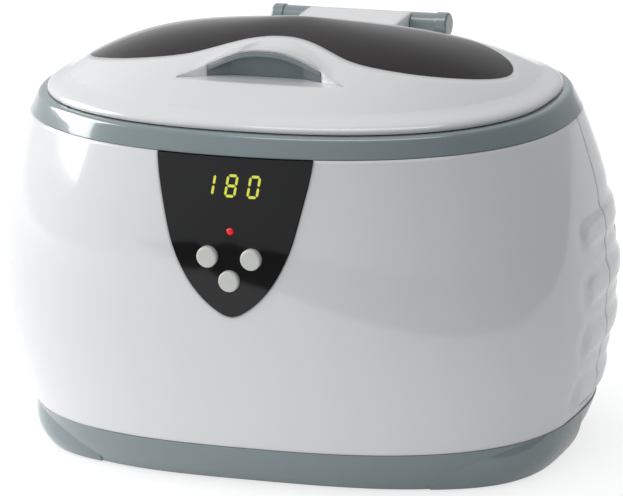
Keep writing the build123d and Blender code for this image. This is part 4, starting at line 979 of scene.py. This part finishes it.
def show_to_camera(bench: NodeBench, hidden: bpy.types.Node, seen: bpy.types.Node,
                   out: bpy.types.Node) -> None:
    """Shows the camera one shader and every other ray another one.

    Args:
        bench: the tree's bench.
        hidden: shader for reflections and light.
        seen: shader for the camera.
        out: the tree's output node.
    """
    path = bench.add("ShaderNodeLightPath")
    pick = bench.add("ShaderNodeMixShader")
    bench.link(path.outputs["Is Camera Ray"], pick.inputs[0])
    bench.link(hidden.outputs[0], pick.inputs[1])
    bench.link(seen.outputs[0], pick.inputs[2])
    bench.link(pick.outputs[0], out.inputs["Surface"])


def sum_of(bench: NodeBench, first: bpy.types.Node, second: bpy.types.Node) -> bpy.types.Node:
    """Adds two shaders."""
    both = bench.add("ShaderNodeAddShader")
    bench.link(first.outputs[0], both.inputs[0])
    bench.link(second.outputs[0], both.inputs[1])
    return both


def smooth_rise(bench: NodeBench, source: bpy.types.NodeSocket, span: tuple[float, float],
                top: float = 1.0) -> bpy.types.NodeSocket:
    """Rises smoothly from 0 to the top value as the source goes over a span.

    Args:
        bench: the tree's bench.
        source: the value that is followed.
        span: where the rise starts and ends.
        top: the highest value.

    Returns:
        The risen value's socket.
    """
    rise = bench.add("ShaderNodeMapRange", interpolation_type="SMOOTHSTEP")
    rise.inputs["From Min"].default_value, rise.inputs["From Max"].default_value = span
    rise.inputs["To Max"].default_value = top
    bench.link(source, rise.inputs["Value"])
    return rise.outputs["Result"]


@dataclass
class Studio:
    """The camera, the lamps, the room and the floor.

    The camera's place is given by its direction round the object, its tilt and its reach.
    The room is brightest towards bright_side.  In reflections the table ends at table_edge,
    measured along table_line, and from shade_from on it has painted half shade; where it is
    not shaded it gives off a painted glow that stands in for light on the table.
    """

    azimuth: float = 21.38
    elevation: float = 16.68
    roll: float = -2.28
    reach: float = 1.79457
    focal_pixels: float = 5370.34
    frame_width: float = 623.0
    sensor: float = 36.0
    clip: tuple[float, float] = (0.05, 50.0)
    aim_height: float = 0.06423
    aim_side: float = 0.00032
    bright_side: tuple[float, float, float] = (-0.74, -0.02, 0.67)
    room_light: tuple[float, float] = (0.06, 1.00)
    table_line: tuple[float, float, float] = (1.1, -1.0, 0.0)
    table_edge: tuple[float, float] = (0.34, 0.38)
    # strength of the painted glow on the reflected table
    painted_table_glow: float = 0.24
    shade_from: tuple[float, float] = (-0.10, 0.20)
    shade_depth: float = 0.36

    def camera(self) -> bpy.types.Object:
        """Makes the camera and sets it as the scene's."""
        around, up = math.radians(self.azimuth), math.radians(self.elevation)
        back = Vector((math.sin(around) * math.cos(up), -math.cos(around) * math.cos(up),
                       math.sin(up)))
        right = Vector((math.cos(around), math.sin(around), 0.0))
        above = back.cross(right)
        tilt = math.radians(self.roll)
        across = math.cos(tilt) * right + math.sin(tilt) * above
        upward = -math.sin(tilt) * right + math.cos(tilt) * above
        eye = Vector((0.0, 0.0, self.aim_height)) + right * self.aim_side + back * self.reach
        data = bpy.data.cameras.new("camera")
        data.sensor_width = self.sensor
        data.lens = self.focal_pixels * self.sensor / self.frame_width
        data.clip_start, data.clip_end = self.clip
        camera = bpy.data.objects.new("camera", data)
        turn = Matrix((across, upward, back)).transposed().to_4x4()
        camera.matrix_world = Matrix.Translation(eye) @ turn
        bpy.context.scene.collection.objects.link(camera)
        bpy.context.scene.camera = camera
        return camera

    def world(self) -> None:
        """Lights the room, and shows white where the camera looks past the object."""
        room = bpy.data.worlds.new("room")
        bpy.context.scene.world = room
        room.use_nodes = True
        room.node_tree.nodes.clear()
        bench = NodeBench(room.node_tree)
        soft = bench.add("ShaderNodeBackground")
        soft.inputs["Color"].default_value = ROOM_COLOR
        place = bench.add("ShaderNodeTexCoord")
        along = bench.add("ShaderNodeVectorMath", operation="DOT_PRODUCT")
        along.inputs[1].default_value = self.bright_side
        bench.link(place.outputs["Generated"], along.inputs[0])
        fade = bench.add("ShaderNodeMapRange", From_Min=-1.0, From_Max=1.0)
        fade.inputs["To Min"].default_value, fade.inputs["To Max"].default_value = self.room_light
        bench.link(along.outputs["Value"], fade.inputs["Value"])
        bench.link(fade.outputs["Result"], soft.inputs["Strength"])
        seen = bench.add("ShaderNodeBackground", Strength=1.0)
        seen.inputs["Color"].default_value = WHITE
        show_to_camera(bench, soft, seen, bench.add("ShaderNodeOutputWorld"))

    def table(self, bench: NodeBench) -> bpy.types.Node:
        """Makes the floor as reflections see it: a table with painted shade and a painted glow.

        How much painted shade it has, from 0 to 1, is the larger of two smooth steps: one across
        the table's edge, and a lower one along X, so it is darker at the right.  The colour goes
        from light to the painted shade colour by that value, and the painted glow falls to nothing
        by it.
        """
        place = bench.add("ShaderNodeTexCoord")
        reach = bench.add("ShaderNodeVectorMath", operation="DOT_PRODUCT")
        reach.inputs[1].default_value = self.table_line
        bench.link(place.outputs["Object"], reach.inputs[0])
        apart = bench.add("ShaderNodeSeparateXYZ")
        bench.link(place.outputs["Object"], apart.inputs[0])
        # share of painted shade on the reflected table, from 0 to 1
        painted_shade_share = bench.add("ShaderNodeMath", operation="MAXIMUM")
        bench.link(smooth_rise(bench, reach.outputs["Value"], self.table_edge), painted_shade_share.inputs[0])
        bench.link(smooth_rise(bench, apart.outputs["X"], self.shade_from, self.shade_depth),
                   painted_shade_share.inputs[1])
        color = bench.add("ShaderNodeMix", data_type="RGBA")
        color.inputs[6].default_value = TABLE_LIGHT
        color.inputs[7].default_value = TABLE_PAINTED_SHADE
        bench.link(painted_shade_share.outputs[0], color.inputs[0])
        matt = bench.add("ShaderNodeBsdfDiffuse")
        bench.link(color.outputs[2], matt.inputs["Color"])
        # strength of the painted glow: full where no shade is painted, none where it is fully
        # shaded
        painted_glow_strength = bench.add("ShaderNodeMath", operation="MULTIPLY_ADD")
        painted_glow_strength.inputs[1].default_value = -self.painted_table_glow
        painted_glow_strength.inputs[2].default_value = self.painted_table_glow
        bench.link(painted_shade_share.outputs[0], painted_glow_strength.inputs[0])
        glow = bench.add("ShaderNodeEmission")
        bench.link(painted_glow_strength.outputs[0], glow.inputs["Strength"])
        return sum_of(bench, matt, glow)

    def floor(self) -> bpy.types.Object:
        """Lays a pale floor that keeps the object's shadow and else shows white."""
        half = FLOOR_HALF
        mesh = bpy.data.meshes.new("floor")
        mesh.from_pydata([(-half, -half, 0), (half, -half, 0), (half, half, 0),
                          (-half, half, 0)], [], [(0, 1, 2, 3)])
        floor = bpy.data.objects.new("floor", mesh)
        bpy.context.scene.collection.objects.link(floor)
        paint = bpy.data.materials.new("floor_paint")
        paint.use_nodes = True
        paint.node_tree.nodes.clear()
        bench = NodeBench(paint.node_tree)
        pale = bench.add("ShaderNodeBsdfDiffuse", Color=SEEN_FLOOR)
        lift = bench.add("ShaderNodeEmission", Strength=SEEN_LIFT)
        show_to_camera(bench, self.table(bench), sum_of(bench, pale, lift),
                       bench.add("ShaderNodeOutputMaterial"))
        mesh.materials.append(paint)
        return floor

    def build(self) -> None:
        """Sets up the camera, the lamps, the room and the floor."""
        self.camera()
        for lamp in LAMPS:
            lamp.stand()
        self.world()
        self.floor()
        bpy.context.scene.view_settings.view_transform = "Standard"
        log.info("studio: camera at azimuth %.2f, elevation %.2f", self.azimuth, self.elevation)


def main(frame: dict) -> None:
    """Sets up the studio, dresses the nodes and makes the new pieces.
    """
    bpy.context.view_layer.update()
    Studio().build()
    shelf = FinishShelf()
    shelf.stock()
    shelf.dress_nodes(frame)
    thin_bars(frame["nodes"]["display_digits"])
    Housing(shelf).build()
    LidTrim(shelf).build()


if __name__ == "__main__":
    logging.basicConfig(level=logging.INFO, format="%(name)s: %(message)s")
    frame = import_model()
    main(frame)
